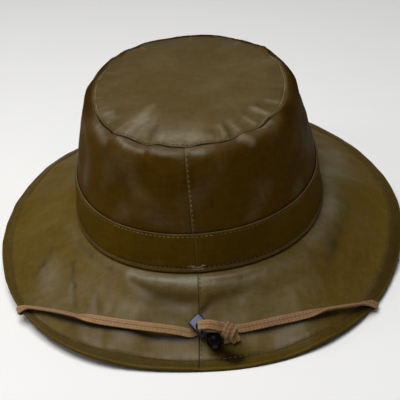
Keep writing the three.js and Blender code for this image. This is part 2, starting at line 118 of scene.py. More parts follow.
def smooth_table(table: Rows, at: Array, turn: float = 0.0, column: int = 1) -> Array:
    """A smooth curve through a table's rows, read at many places.

    Between two rows it is the cubic with the values of both and slopes drawn through their neighbours.

    Args:
        table: Rows that begin with their place, rising.
        at: The places to read.
        turn: The span after which a closed table repeats, or 0 for an open one.
        column: The column with the values.

    Returns:
        The values at the places asked for, in the same shape.
    """
    places, values = np.array(table, float)[:, [0, column]].T
    count = len(places)
    at = np.mod(at, turn) if turn else np.asarray(at, float)
    low = np.clip(np.searchsorted(places, at, side="right") - 1, 0, count - 1 if turn else count - 2)

    def row(index: Array) -> tuple[Array, Array]:
        """The place and value of each row asked for."""
        if turn:
            return places[index % count] + turn * (index // count), values[index % count]
        kept = np.clip(index, 0, count - 1)
        return places[kept], values[kept]

    (p0, v0), (p1, v1), (p2, v2), (p3, v3) = (row(low + shift) for shift in (-1, 0, 1, 2))
    span = p2 - p1
    step = (at - p1) / span
    start = (v2 - v0) / np.maximum(p2 - p0, span)
    end = (v3 - v1) / np.maximum(p3 - p1, span)
    return (
        (2 * step**3 - 3 * step**2 + 1) * v1
        + (step**3 - 2 * step**2 + step) * span * start
        + (3 * step**2 - 2 * step**3) * v2
        + (step**3 - step**2) * span * end
    )


def normals_of(surface: Surface, angle: Array, along: Array, step: float) -> Array:
    """Unit normals of a surface: the way round crossed with the way up, each over a small step.

    Args:
        surface: Points from angles and places along.
        angle: Angles round the hat in degrees.
        along: Places along the surface.
        step: The small step along that goes up the surface.

    Returns:
        The outward unit normals.
    """
    around = surface(angle + 0.4, along) - surface(angle - 0.4, along)
    upward = surface(angle, along + step) - surface(angle, along - step)
    return unit(np.cross(around, upward))


@dataclass(frozen=True)
class Strokes:
    """Soft ridges or marks on a surface, each along the line between two of its places.

    A stroke's height at a point is high times a bell of the point's distance from its line, over wide.

    Attributes:
        scale: Millimetres in one degree round the hat, and in one step of 1 along the surface.
        rows: Rows of start angle, start along, end angle, end along, wide and high.
    """

    scale: tuple[float, float]
    rows: Rows

    def each(self, angle: Array, along: Array) -> list[Array]:
        """The heights of the strokes over a surface, in millimetres.

        Args:
            angle: Angles of the points.
            along: Places of the points along the surface.

        Returns:
            An array of heights for each stroke.
        """
        heights = []
        for start, low, end, top, wide, high in self.rows:
            right, up = apart(angle, start) * self.scale[0], (along - low) * self.scale[1]
            over, rise = float(apart(end, start)) * self.scale[0], (top - low) * self.scale[1]
            part = np.clip((right * over + up * rise) / (over**2 + rise**2 + 1e-9), 0, 1)
            heights.append(high * bell(np.hypot(right - part * over, up - part * rise), wide))
        return heights

    def total(self, angle: Array, along: Array) -> Array:
        """The heights of all strokes added up."""
        return sum(self.each(angle, along))

    def most(self, angle: Array, along: Array) -> Array:
        """The height of the highest stroke at each place."""
        return np.max(self.each(angle, along), axis=0)


@dataclass(frozen=True)
class Unevenness:
    """Soft unevenness of cloth: a sum of plane waves through space with seeded ways, lengths and starts."""

    seed: int
    wave: float
    high: float
    count: int = 14

    def at(self, points: Array) -> Array:
        """The height of the unevenness at points, in millimetres."""
        rng = np.random.default_rng(self.seed)
        ways = unit(rng.normal(size=(self.count, 3))) * (TURN / (self.wave * rng.uniform(0.7, 1.6, (self.count, 1))))
        starts = rng.uniform(0, TURN, self.count)
        total = np.zeros(points.shape[:-1])
        for way, start in zip(ways, starts):
            total += np.sin(points @ way + start)
        return self.high * total / math.sqrt(self.count / 2)


# Meshes


def new_object(name: str, mesh: Mesh, finish: Material) -> Object:
    """Puts a mesh into the scene as an object at the origin.

    Args:
        name: The piece's name.
        mesh: Its mesh, in metres.
        finish: Its material.

    Returns:
        The new object.
    """
    piece = bpy.data.objects.new(name, mesh)
    bpy.context.scene.collection.objects.link(piece)
    mesh.materials.append(finish)
    return piece


def signed_volume(points: Array, triangles: Array) -> float:
    """Six times the volume inside triangles: the sum of each corner's product with the cross of the others."""
    a, b, c = (points[triangles[:, corner]] for corner in range(3))
    return float(np.einsum("ij,ij->", a, np.cross(b, c)))


@dataclass
class Skin:
    """A closed surface on a grid of points, in millimetres.

    Attributes:
        points: The grid, rows by columns by 3. Its columns always close round.
        uv: The cloth's own coordinates in millimetres, with one more column, and one more row if rows close.
        rows_close: Whether the last row joins the first. Otherwise both end rows are closed with a cap.
        marks: Numbers of the surface for the materials, by name, rows by columns.
    """

    points: Array
    uv: Array
    rows_close: bool
    marks: dict[str, Array] = field(default_factory=dict)

    def mesh(self, name: str) -> Mesh:
        """Makes the mesh: a quad between each point and its neighbours, facing out, smooth shaded.

        Args:
            name: The mesh's name.

        Returns:
            The mesh in metres.
        """
        rows, columns = self.points.shape[:2]
        steps = rows if self.rows_close else rows - 1
        row, column = (part.ravel() for part in np.meshgrid(np.arange(steps), np.arange(columns), indexing="ij"))
        corner_rows = np.stack([row, row, row + 1, row + 1], 1)
        corner_columns = np.stack([column, column + 1, column + 1, column], 1)
        quads = (corner_rows % rows) * columns + corner_columns % columns
        uv = self.uv[corner_rows, corner_columns]
        flat = self.points.reshape(-1, 3) * MM
        corners = np.concatenate([quads[:, :3], quads[:, [0, 2, 3]]])
        flipped = signed_volume(flat, corners) < 0
        if flipped:
            quads, uv = quads[:, ::-1], uv[:, ::-1]
        faces, uvs = quads.tolist(), [uv.reshape(-1, 2)]
        if not self.rows_close:
            for end in (0, rows - 1):
                way = -1 if (end == 0) != flipped else 1
                faces.append((end * columns + np.arange(columns))[::way].tolist())
                uvs.append(self.uv[end, :columns][::way])
        mesh = bpy.data.meshes.new(name)
        mesh.from_pydata(flat.tolist(), [], faces)
        layer = mesh.uv_layers.new(name="cloth")
        layer.data.foreach_set("uv", (np.concatenate(uvs) * MM).astype(np.float32).ravel())
        for mark, values in self.marks.items():
            attribute = mesh.attributes.new(mark, "FLOAT", "POINT")
            attribute.data.foreach_set("value", np.ascontiguousarray(values, dtype=np.float32).ravel())
        mesh.shade_smooth()
        mesh.validate()
        return mesh

    def piece(self, name: str, finish: Material, slot: Slot, *nodes: str) -> Object:
        """Makes the skin a dressed piece that stands for the named solids."""
        return dress(new_object(name, self.mesh(name), finish), slot, *nodes)


def dress(piece: Object, slot: Slot, *nodes: str) -> Object:
    """Lets a piece ride on the hat and hides the solids that it stands for.

    Args:
        piece: The piece.
        slot: The record's material slot; not used.
        *nodes: The solids that it replaces.

    Returns:
        The piece.
    """
    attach(piece, "root")
    if nodes:
        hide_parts(*nodes)
    log.info("%s: %d triangles", piece.name, sum(len(face.vertices) - 2 for face in piece.data.polygons))
    return piece


def spread_marks(shape: tuple[int, int], first: int, most: float, **marks: Array) -> dict[str, Array]:
    """Marks of a whole skin from those of its outer face, 0 on its other rows.

    Args:
        shape: The skin's rows and columns.
        first: The outer face's first row.
        most: The highest value of a mark.
        **marks: The outer face's values, by the mark's name.

    Returns:
        The whole skin's values, by name.
    """
    whole = {name: np.zeros(shape) for name in marks}
    for name, values in marks.items():
        whole[name][first : first + len(values)] = np.clip(values, 0, most)
    return whole


def plan_uv(points: Array, rows_close: bool) -> Array:
    """Cloth coordinates of a piece cut flat: its points seen from above, with the closing column and row."""
    uv = np.concatenate([points, points[:, :1]], 1)[..., :2]
    return np.concatenate([uv, uv[:1]], 0) if rows_close else uv


def wall_uv(points: Array) -> Array:
    """Cloth coordinates of a closed grid that stands round the hat: the way round and the way over the rows.

    Args:
        points: The grid of points.

    Returns:
        The coordinates with the closing column and row.
    """
    closed = np.concatenate([points, points[:, :1]], 1)
    around = np.linalg.norm(np.diff(closed[len(points) // 3], axis=0), axis=1)
    across = np.linalg.norm(np.diff(np.concatenate([points, points[:1]], 0), axis=0), axis=2).mean(1)
    return grid_pairs(np.concatenate([[0], np.cumsum(around)]), np.concatenate([[0], np.cumsum(across)]))


def grid_pairs(first: Array, second: Array) -> Array:
    """Pairs of numbers on a grid: the first runs over its columns and the second over its rows."""
    return np.stack(np.broadcast_arrays(first[None, :], second[:, None]), -1)


def angles_round(coarse: int, seam: float, fine_half: float, fine_step: float) -> Array:
    """Angles all the way round, closer together near a seam.

    Args:
        coarse: How many even steps a full turn has.
        seam: The seam's angle.
        fine_half: Degrees on each side of the seam that are divided finely.
        fine_step: The fine step in degrees.

    Returns:
        Rising angles from 0 up to 360, without 360.
    """
    even = np.arange(coarse) * 360.0 / coarse
    even = even[np.abs(even - seam) > fine_half + 0.3 * 360.0 / coarse]
    fine = np.arange(seam - fine_half, seam + fine_half + fine_step / 2, fine_step)
    return np.sort(np.concatenate([even, fine]))


# The hat's form, as the solids have it


@dataclass(frozen=True)
class HatForm:
    """The forms of the hat's canvas shells, as functions of the angle round it.

    Every oval is half_width * cos(a) * (1 + square * sin(a)^2) by half_length * sin(a) * (1 + square * cos(a)^2).
    """

    seam_height: float = 39.0
    middle: tuple[float, float] = (0.4, 0.4)
    cloth: float = 2.0
    band_cloth: float = 1.2
    clear: float = 0.3
    seam_clear: float = 0.5
    band_height: float = 28.9
    # Rows of up, height, half width, half length, square.
    crown_sections: Rows = (
        (0, 0, 87.5, 103, 0.062), (14, 14, 86.1, 102.6, 0.05), (29, 29, 84.7, 102.1, 0.038),
        (46, 46, 81.6, 101.3, 0.036), (62, 62, 78.5, 100.2, 0.036), (72, 71.8, 76.1, 99, 0.036),
        (79.5, 79, 74, 96.6, 0.036), (84, 82.2, 70.9, 93, 0.036), (89, 83.5, 66.6, 88.4, 0.036),
    )
    # Dents: angle, place along, degrees wide, high, how far the cloth stands out.
    crown_dents: Rows = (
        (25, 62, 30, 22, -2.4), (62, 86, 24, 9, -1.8), (165, 60, 25, 20, -1), (238, 60, 9, 14, -1.2),
        (300, 58, 10, 16, -1.4),
    )
    tip_inside: float = 0.9
    tip_below: float = 0.2
    tip_rise: float = 1.6
    tip_dents: Rows = ((235, 0.85, 8, 0.12, 0.8), (292, 0.85, 7, 0.12, 0.8))
    brim_foot: Point = (89, 104.5, 0.062)
    brim_length: float = 63.8
    # Rows of angle and the edge's drop below the seam plane.
    brim_drop: Rows = (
        (0, 26.8), (30, 25.2), (45, 22.6), (60, 22), (75, 36.4), (90, 37.6), (105, 36.8), (120, 27), (135, 24),
        (150, 24.3), (180, 25.4), (210, 28.4), (225, 30.8), (240, 32), (255, 36), (270, 37.4), (285, 37.2), (300, 35),
        (330, 34.7), (345, 30.8),
    )
    # The drops between which the brim comes to lie pressed on the ground.
    pressed: tuple[float, float] = (33.5, 37.4)
    # Where the back's edge is tucked in: angle, degrees wide, millimetres.
    back_tuck: Point = (263, 18, 2.6)
    # Rows of across, and the share of the drop where the brim is free and where it is pressed.
    slope: Rows = (
        (0, 0, 0), (0.1, 0.07, 0.05), (0.2, 0.18, 0.2), (0.32, 0.33, 0.42), (0.46, 0.48, 0.61), (0.62, 0.65, 0.79),
        (0.78, 0.8, 0.94), (0.87, 0.88, 1), (1, 1, 1),
    )
    brim_dents: Rows = ((200, 0.7, 9, 0.3, -1.2), (345, 0.6, 8, 0.3, -1.2))

    def oval(self, section: tuple[Array, Array, Array], angle: Array) -> tuple[Array, Array]:
        """Points of an oval in plan and the directions straight out of it.

        Args:
            section: Half width, half length and square, numbers or arrays.
            angle: Angles in degrees.

        Returns:
            The points and the unit directions, each with a last axis of 2.
        """
        half_width, half_length, square = section

        def at(degrees: Array) -> Array:
            """The oval's points at angles in degrees."""
            cosine, sine = np.cos(np.radians(degrees)), np.sin(np.radians(degrees))
            return np.stack([half_width * cosine * (1 + square * sine**2),
                             half_length * sine * (1 + square * cosine**2)], -1)

        along = at(angle + 0.4) - at(angle - 0.4)
        return at(angle), unit(np.stack([along[..., 1], -along[..., 0]], -1))

    def dents(self, rows: Rows, angle: Array, along: Array) -> Array:
        """The sum of a table's dents: each a bell over its own degrees times a bell over its own height."""
        return sum(out * bell(apart(angle, at_angle), wide) * bell(along - at_along, high)
                   for at_angle, at_along, wide, high, out in rows)

    def placed(self, plan: Array, height: Array) -> Array:
        """Points from a plan measured at the hat's middle and heights above the seam plane."""
        height = np.broadcast_to(height, plan.shape[:-1])
        return np.concatenate([plan + np.array(self.middle), height[..., None] + self.seam_height], -1)

    def crown(self, angle: Array, up: Array) -> Array:
        """The wall's outer face: the oval of its height, moved in and out by the dents."""
        angle, up = np.broadcast_arrays(angle, up)
        height, *section = (smooth_table(self.crown_sections, up, column=column) for column in (1, 2, 3, 4))
        plan, out = self.oval(section, angle)
        return self.placed(plan + out * self.dents(self.crown_dents, angle, up)[..., None], height)

    def tip(self, angle: Array, out: Array) -> Array:
        """The tip panel's top face: the crown's top oval shrunk by out, and domed by 1 - out^4."""
        angle, out = np.broadcast_arrays(angle, out)
        up, height, *section = self.crown_sections[-1]
        plan, away = self.oval(section, angle)
        inset = self.dents(self.crown_dents, angle, up) - self.tip_inside
        rise = self.tip_rise * (1 - out**4) + self.dents(self.tip_dents, angle, out)
        return self.placed((plan + away * inset[..., None]) * out[..., None], height - self.tip_below + rise)

    def reach(self, angle: Array) -> Array:
        """How far out the brim's edge lies in plan: the third side of its length and its drop."""
        drop = smooth_table(self.brim_drop, angle, 360.0)
        at, wide, shorter = self.back_tuck
        return np.sqrt((self.brim_length - shorter * bell(apart(angle, at), wide)) ** 2 - drop**2)

    def brim(self, angle: Array, across: Array) -> Array:
        """The brim's top face: out from the foot by the reach, and down by the drop's share at each place."""
        angle, across = np.broadcast_arrays(angle, across)
        foot, out = self.oval(self.brim_foot, angle)
        drop = smooth_table(self.brim_drop, angle, 360.0)
        free, pressed = (smooth_table(self.slope, across, column=column) for column in (1, 2))
        share = free + fade(drop, *self.pressed) * (pressed - free)
        plan = foot + out * (self.reach(angle) * across)[..., None]
        return self.placed(plan, self.dents(self.brim_dents, angle, across) - drop * share)


FORM = HatForm()
# Small bends of the seam round the tip: angle, degrees wide, millimetres out.
RIM_WAVES = (
    (213, 5, 0.35), (224, 4, 0.45), (233, 5, -0.3), (246, 4.5, 0.55), (252.5, 4, -0.55), (262, 5, 0.15),
    (268, 3, 0.5), (276, 5, -0.35), (284, 4, 0.2), (291, 4, 0.35), (299, 5, -0.35), (309, 4, 0.4), (318, 4, -0.3),
    (330, 5, 0.3), (345, 6, -0.3), (15, 5, 0.5), (28, 4, -0.5), (36, 4, 0.5), (50, 6, -0.3), (66, 6, 0.3),
    (100, 6, -0.3), (117, 4, 0.5), (124, 3, -0.4), (131, 4, 0.5), (138, 3, -0.45), (144, 4, 0.5), (155, 5, -0.3),
    (170, 6, 0.3), (190, 6, -0.3),
)


def rim_wave(angle: Array) -> Array:
    """How far the seam round the tip bends outward at each angle, in millimetres."""
    return sum(out * bell(apart(angle, at), wide) for at, wide, out in RIM_WAVES)


def near_side(angle: Array) -> Array:
    """1 where the seam round the tip lies open at the back of the hat, and 0 at its sides and front."""
    turned = np.mod(angle, 360.0)
    return fade(turned, 200, 211) * fade(-turned, -329, -317)


def bent_rim(points: Array, angle: Array, amount: Array, widen: Array | float = 0.0) -> Array:
    """Moves points near the seam round the tip with its bends.

    Where the cloth bends outward it also sinks at the back, and rises at the sides and front.

    Args:
        points: Points of the cloth.
        angle: Their angles.
        amount: The share of the bend that each point takes.
        widen: Millimetres that the points move outward beside the bend.

    Returns:
        The moved points.
    """
    wave = rim_wave(angle)
    _, out = FORM.oval(FORM.brim_foot, angle)
    moved = points.copy()
    moved[..., :2] += out * ((1.4 * wave + widen) * amount)[..., None]
    moved[..., 2] += (wave * (0.8 - 1.9 * near_side(angle)) - 1.3 * bell(apart(angle, 82), 38)) * amount
    return moved


# Shader nodes


class NodeSheet:
    """Places and joins nodes in one node tree."""

    def __init__(self, tree: Tree) -> None:
        """Starts on a tree."""
        self.tree = tree

    def feed(self, node: bpy.types.Node, inputs: dict) -> bpy.types.Node:
        """Joins sockets to a node's inputs and sets the others, by name or number."""
        for key, value in inputs.items():
            if isinstance(value, Socket):
                self.tree.links.new(value, node.inputs[key])
            else:
                node.inputs[key].default_value = value
        return node

    def add(self, kind: str, inputs: dict | None = None, **settings: object) -> bpy.types.Node:
        """Adds a node.

        Args:
            kind: The node's type, without its ShaderNode prefix.
            inputs: Values or sockets for its inputs, by name or number.
            **settings: Properties of the node.

        Returns:
            The node.
        """
        node = self.tree.nodes.new(kind if kind.startswith("NodeGroup") else "ShaderNode" + kind)
        node.location = (190 * (len(self.tree.nodes) % 9), -230 * (len(self.tree.nodes) // 9))
        for key, value in settings.items():
            setattr(node, key, value)
        return self.feed(node, inputs or {})

    def math(self, operation: str, first: object, second: object = 0.0) -> Socket:
        """The output of a Math node."""
        return self.add("Math", {0: first, 1: second}, operation=operation).outputs[0]

    def spread(self, value: object, low: float, high: float, to_low: float, to_high: float) -> Socket:
        """The output of a Map Range node, clamped."""
        inputs = {"Value": value, "From Min": low, "From Max": high, "To Min": to_low, "To Max": to_high}
        return self.add("MapRange", inputs, clamp=True).outputs[0]

    def mix(self, share: object, first: object, second: object) -> Socket:
        """The colour output of a Mix node: first where share is 0 and second where it is 1."""
        inputs = {0: share, 6: first, 7: second}
        return self.add("Mix", inputs, data_type="RGBA", clamp_factor=True).outputs[2]

    def noise(self, place: object, scale: object, detail: float, rough: float = 0.5) -> Socket:
        """The value of a noise over places."""
        inputs = {"Vector": place, "Scale": scale, "Detail": detail, "Roughness": rough}
        return self.add("TexNoise", inputs).outputs[0]

    def bump(self, strength: float, distance: float, height: object, **under: object) -> Socket:
        """The normal of a Bump node, over the Normal of another if one is given."""
        inputs = {"Strength": strength, "Distance": distance, "Height": height, **under}
        return self.add("Bump", inputs).outputs[0]

    def mark(self, name: str) -> Socket:
        """The values of a surface's own mark."""
        return self.add("Attribute", attribute_name=name, attribute_type="GEOMETRY").outputs["Fac"]

    def group(self, tree: Tree, inputs: dict) -> Outputs:
        """The outputs of a node group placed with its own values."""
        return self.add("Group", inputs, node_tree=tree).outputs


class GroupSheet(NodeSheet):
    """Places the nodes of a new shader node group."""

    def __init__(self, name: str, inputs: dict[str, str], outputs: dict[str, str]) -> None:
        """Starts a group with the kinds of its inputs and outputs by name."""
        super().__init__(bpy.data.node_groups.new(name, "ShaderNodeTree"))
        for way, sockets in (("INPUT", inputs), ("OUTPUT", outputs)):
            for socket, kind in sockets.items():
                self.tree.interface.new_socket(socket, in_out=way, socket_type="NodeSocket" + kind)
        self.given = self.add("NodeGroupInput").outputs

    def give(self, outputs: dict) -> Tree:
        """Joins what the group puts out, by name, and hands over the group."""
        self.add("NodeGroupOutput", outputs)
        return self.tree


class MaterialSheet(NodeSheet):
    """Places the nodes of a new material with a Principled shader."""

    def __init__(self, name: str, effects: "Effects") -> None:
        """Starts the material."""
        self.effects = effects
        self.material = bpy.data.materials.new(name)
        self.material.use_nodes = True
        super().__init__(self.material.node_tree)
        self.shader = next(node for node in self.tree.nodes if node.type == "BSDF_PRINCIPLED")
        self.place = self.add("TexCoord").outputs["Object"]

    def cloth(self) -> Socket:
        """The piece's own cloth coordinates."""
        return self.add("UVMap", uv_map="cloth").outputs[0]

    def cloth_parts(self) -> Outputs:
        """The cloth coordinates one by one."""
        return self.add("SeparateXYZ", {0: self.cloth()}).outputs

    def mottle(self, size: float, share: float) -> Outputs:
        """The shared mottle, by its spots' size in metres and the large noise's share."""
        return self.group(self.effects.mottle, {"Place": self.place, "Size": size, "Share": share})

    def worn(self, colour: object, pale: Colour, dark: Colour, uneven: object) -> Socket:
        """A colour made paler by wear and painted highlights, darker by dirt and painted shade."""
        marks = {"Worn": self.mark("worn"), "Deep": self.mark("deep")}
        inputs = {"Color": colour, "Pale": pale, "Dark": dark, "Break": uneven, **marks}
        return self.group(self.effects.wear, inputs)["Color"]


class Effects:
    """The shader node groups that the finishes share."""

    def __init__(self) -> None:
        """Builds every group once."""
        self.weave = self._weave()
        self.mottle = self._mottle()
        self.wear = self._wear()

    def _weave(self) -> Tree:
        """A plain weave: threads of two ways cross, each way's height the sine of its own coordinate.

        Returns:
            The group, which puts out Height from 0 to 1 and Thread, which differs from thread to thread.
        """
        sheet = GroupSheet("canvas_weave", {"Cloth": "Vector", "Pitch": "Float"},
                           {"Height": "Float", "Thread": "Float"})
        cloth, pitch = sheet.given["Cloth"], sheet.given["Pitch"]
        parts = sheet.add("SeparateXYZ", {0: cloth}).outputs
        turns = sheet.math("DIVIDE", TURN / 2, pitch)
        u, v = (sheet.math("SINE", sheet.math("MULTIPLY", parts[way], turns)) for way in (0, 1))
        scale = sheet.math("DIVIDE", 0.7, pitch)
        slubs = [
            sheet.noise(sheet.add("VectorMath", {0: cloth, 1: stretch}, operation="MULTIPLY").outputs[0], scale, 1.0)
            for stretch in ((1.0, 0.06, 1.0), (0.06, 1.0, 1.0))
        ]
        return sheet.give({
            "Height": sheet.spread(sheet.math("MULTIPLY", u, v), -1, 1, 0, 1),
            "Thread": sheet.math("MULTIPLY", sheet.math("ADD", *slubs), 0.5),
        })

    def _mottle(self) -> Tree:
        """Uneven wax: a large and a small noise over the object, added.

        Returns:
            The group, which puts out Fine and Mixed, each from 0 to 1.
        """
        sheet = GroupSheet("soft_mottle", {"Place": "Vector", "Size": "Float", "Share": "Float"},
                           {"Fine": "Float", "Mixed": "Float"})
        place, share = sheet.given["Place"], sheet.given["Share"]
        scale = sheet.math("DIVIDE", 1.0, sheet.given["Size"])
        wide, narrow = (
            sheet.spread(sheet.noise(place, size, detail), 0.28, 0.72, 0, 1)
            for size, detail in ((scale, 3.0), (sheet.math("MULTIPLY", scale, 5.3), 4.0))
        )
        rest = sheet.math("MULTIPLY", narrow, sheet.math("SUBTRACT", 1.0, share))
        return sheet.give({"Fine": narrow, "Mixed": sheet.math("ADD", sheet.math("MULTIPLY", wide, share), rest)})

    def _wear(self) -> Tree:
        """A colour paler by wear and painted highlights, broken by a mottle, and darker by dirt and painted shade.

        Returns:
            The group, which puts out the Color.
        """
        sheet = GroupSheet(
            "rub_and_dirt",
            {"Color": "Color", "Pale": "Color", "Dark": "Color", "Worn": "Float", "Deep": "Float", "Break": "Float"},
            {"Color": "Color"},
        )
        given = sheet.given
        rubbed = sheet.math("MULTIPLY", given["Worn"], sheet.spread(given["Break"], 0.1, 0.8, 0.55, 1.2))
        pale = sheet.mix(rubbed, given["Color"], given["Pale"])
        return sheet.give({"Color": sheet.mix(given["Deep"], pale, given["Dark"])})


@dataclass(frozen=True)
class Finish:
    """The look of one material."""

    name: str

    def make(self, effects: Effects) -> Material:
        """Makes the material.

        Args:
            effects: The shared node groups.

        Returns:
            The material.
        """
        sheet = MaterialSheet(self.name, effects)
        sheet.feed(sheet.shader, self.inputs(sheet))
        return sheet.material

    def inputs(self, sheet: MaterialSheet) -> dict:
        """What the shader's inputs are fed with, by their names."""
        raise NotImplementedError


@dataclass(frozen=True)
class WaxedCanvas(Finish):
    """Waxed olive cotton canvas: a mottled, slightly glossy coat over a fine weave, with wear, dirt and painted light
    and shade.
    """

    base: Colour = (0.088, 0.057, 0.0085, 1)
    rich: Colour = (0.070, 0.040, 0.0040, 1)
    gloss: float = 1.40
    specular: float = 0.5
    coat: tuple[float, float] = (0.1, 0.35)
    pale: Colour = (0.176, 0.147, 0.090, 1)
    dark: Colour = (0.012, 0.006, 0.001, 1)
    rough: tuple[float, float] = (0.42, 0.58)
    gloss_tint: Colour = (1.0, 0.95, 0.58, 1)
    pitch: float = 0.0006
    weave_depth: float = 0.00006
    pebble_depth: float = 0.00012
    crinkle_depth: float = 0.0005

    def inputs(self, sheet: MaterialSheet) -> dict:
        """Mottled colour, marks of wear, dirt, painted highlights and painted shade, uneven gloss and three depths of
        bump.
        """
        weave = sheet.group(sheet.effects.weave, {"Cloth": sheet.cloth(), "Pitch": self.pitch})
        mottle = sheet.mottle(0.045, 0.62)
        grain = sheet.mottle(0.004, 0.5)["Mixed"]
        shade = sheet.math("MULTIPLY", sheet.spread(weave["Thread"], 0.3, 0.7, 0.82, 1.18),
                           sheet.spread(grain, 0.1, 0.9, 0.84, 1.16))
        colour = sheet.mix(mottle["Mixed"], self.rich, self.base)
        toned = sheet.add("VectorMath", {0: colour, "Scale": shade}, operation="SCALE").outputs[0]
        gloss = sheet.spread(sheet.math("ADD", mottle["Fine"], grain), 0.5, 1.6, *self.rough)
        crinkle = sheet.bump(0.55, self.crinkle_depth, sheet.noise(sheet.place, 60.0, 5.0, 0.55))
        pebble = sheet.bump(0.5, self.pebble_depth, sheet.noise(sheet.place, 420.0, 2.0), Normal=crinkle)
        coat = sheet.spread(mottle["Mixed"], 0.15, 0.85, *self.coat)
        return {
            "Base Color": sheet.worn(toned, self.pale, self.dark, grain),
            "Roughness": sheet.math("ADD", gloss, sheet.math("MULTIPLY", sheet.mark("deep"), 0.3)),
            "Normal": sheet.bump(0.6, self.weave_depth, weave["Height"], Normal=pebble),
            "Coat Weight": sheet.math("MULTIPLY", coat, sheet.mark("wax")),
            "Coat Roughness": 0.40, "Coat IOR": 1.5, "IOR": self.gloss,
            "Specular IOR Level": self.specular, "Specular Tint": self.gloss_tint,
        }


@dataclass(frozen=True)
class BraidedCord(Finish):
    """Flat cotton braid: tan and rust threads that cross in chevrons, matt and a little fuzzy."""

    tan: Colour = (0.35, 0.208, 0.082, 1)
    rust: Colour = (0.215, 0.088, 0.023, 1)
    dark: Colour = (0.030, 0.010, 0.003, 1)
    pale: Colour = (0.50, 0.31, 0.12, 1)
    rough: tuple[float, float] = (0.6, 0.85)
    chevron: tuple[float, float] = (0.0014, 0.0025)

    def inputs(self, sheet: MaterialSheet) -> dict:
        """Chevrons of two threads by the braid's own coordinates, painted shade between threads and highlights on
        crests.
        """
        parts = sheet.cloth_parts()
        slant = sheet.math("ADD", parts[0], sheet.math("PINGPONG", parts[1], self.chevron[0]))
        stripe = sheet.math("SINE", sheet.math("MULTIPLY", slant, TURN / self.chevron[1]))
        mottle = sheet.mottle(0.006, 0.5)
        mixed = sheet.math("ADD", sheet.math("MULTIPLY", stripe, 0.25), mottle["Mixed"])
        colour = sheet.mix(sheet.spread(mixed, 0.1, 1.0, 0, 1), self.rust, self.tan)
        return {
            "Base Color": sheet.worn(colour, self.pale, self.dark, mottle["Fine"]),
            "Roughness": sheet.spread(mottle["Fine"], 0, 1, *self.rough),
            "Normal": sheet.bump(0.5, 0.00012, sheet.noise(sheet.place, 2600.0, 2.0)),
            "Sheen Weight": 0.25, "Sheen Roughness": 0.4,
        }


@dataclass(frozen=True)
class Thread(Finish):
    """Sewing thread: twisted, waxed, with a ply that shows as slanting lines."""

    colour: Colour = (0.30, 0.22, 0.10, 1)
    shade: Colour = (0.12, 0.08, 0.03, 1)
    rough: tuple[float, float] = (0.4, 0.65)
    ply: float = 0.0005

    def inputs(self, sheet: MaterialSheet) -> dict:
        """Two shades by a fine mottle, and a twist bump from the thread's own coordinates."""
        parts = sheet.cloth_parts()
        mottle = sheet.mottle(0.011, 0.7)
        slant = sheet.math("ADD", parts[0], sheet.math("MULTIPLY", parts[1], 0.8))
        twist = sheet.math("SINE", sheet.math("MULTIPLY", slant, TURN / self.ply))
        return {
            "Base Color": sheet.mix(sheet.spread(mottle["Mixed"], 0.2, 0.8, 0, 1), self.shade, self.colour),
            "Roughness": sheet.spread(mottle["Fine"], 0, 1, *self.rough),
            "Normal": sheet.bump(0.6, 0.00008, twist),
        }


@dataclass(frozen=True)
class BlackPlastic(Finish):
    """Moulded black plastic with a glossy skin, faintly clouded, with a painted pale reflection on its marked places.
    """

    colour: Colour = (0.012, 0.012, 0.016, 1)
    # The pale colour of the painted reflection on the lock's face and of the painted highlight on the ball.
    scuffed: Colour = (0.185, 0.20, 0.31, 1)
    rough: tuple[float, float] = (0.22, 0.36)
    specular: float = 0.15

    def inputs(self, sheet: MaterialSheet) -> dict:
        """Near black with a painted pale reflection, uneven gloss and a very shallow orange-peel bump."""
        mottle = sheet.mottle(0.0035, 0.5)
        return {
            "Base Color": sheet.worn(self.colour, self.scuffed, self.colour, mottle["Fine"]),
            "Roughness": sheet.spread(mottle["Mixed"], 0.2, 0.8, *self.rough),
            "Normal": sheet.bump(0.25, 0.00004, sheet.noise(sheet.place, 900.0, 1.0)),
            "IOR": 1.55, "Specular IOR Level": self.specular,
        }


@dataclass(frozen=True)
class PaleFloor(Finish):
    """A plain pale studio floor with a hardly visible unevenness."""

    colour: Colour = (0.96, 0.96, 0.96, 1)
    other: Colour = (0.945, 0.945, 0.945, 1)

    def inputs(self, sheet: MaterialSheet) -> dict:
        """Two near equal pale shades by a broad mottle."""
        mottle = sheet.mottle(0.2, 0.7)
        return {
            "Base Color": sheet.mix(mottle["Mixed"], self.other, self.colour),
            "Roughness": 0.9, "Specular IOR Level": 0.1,
        }


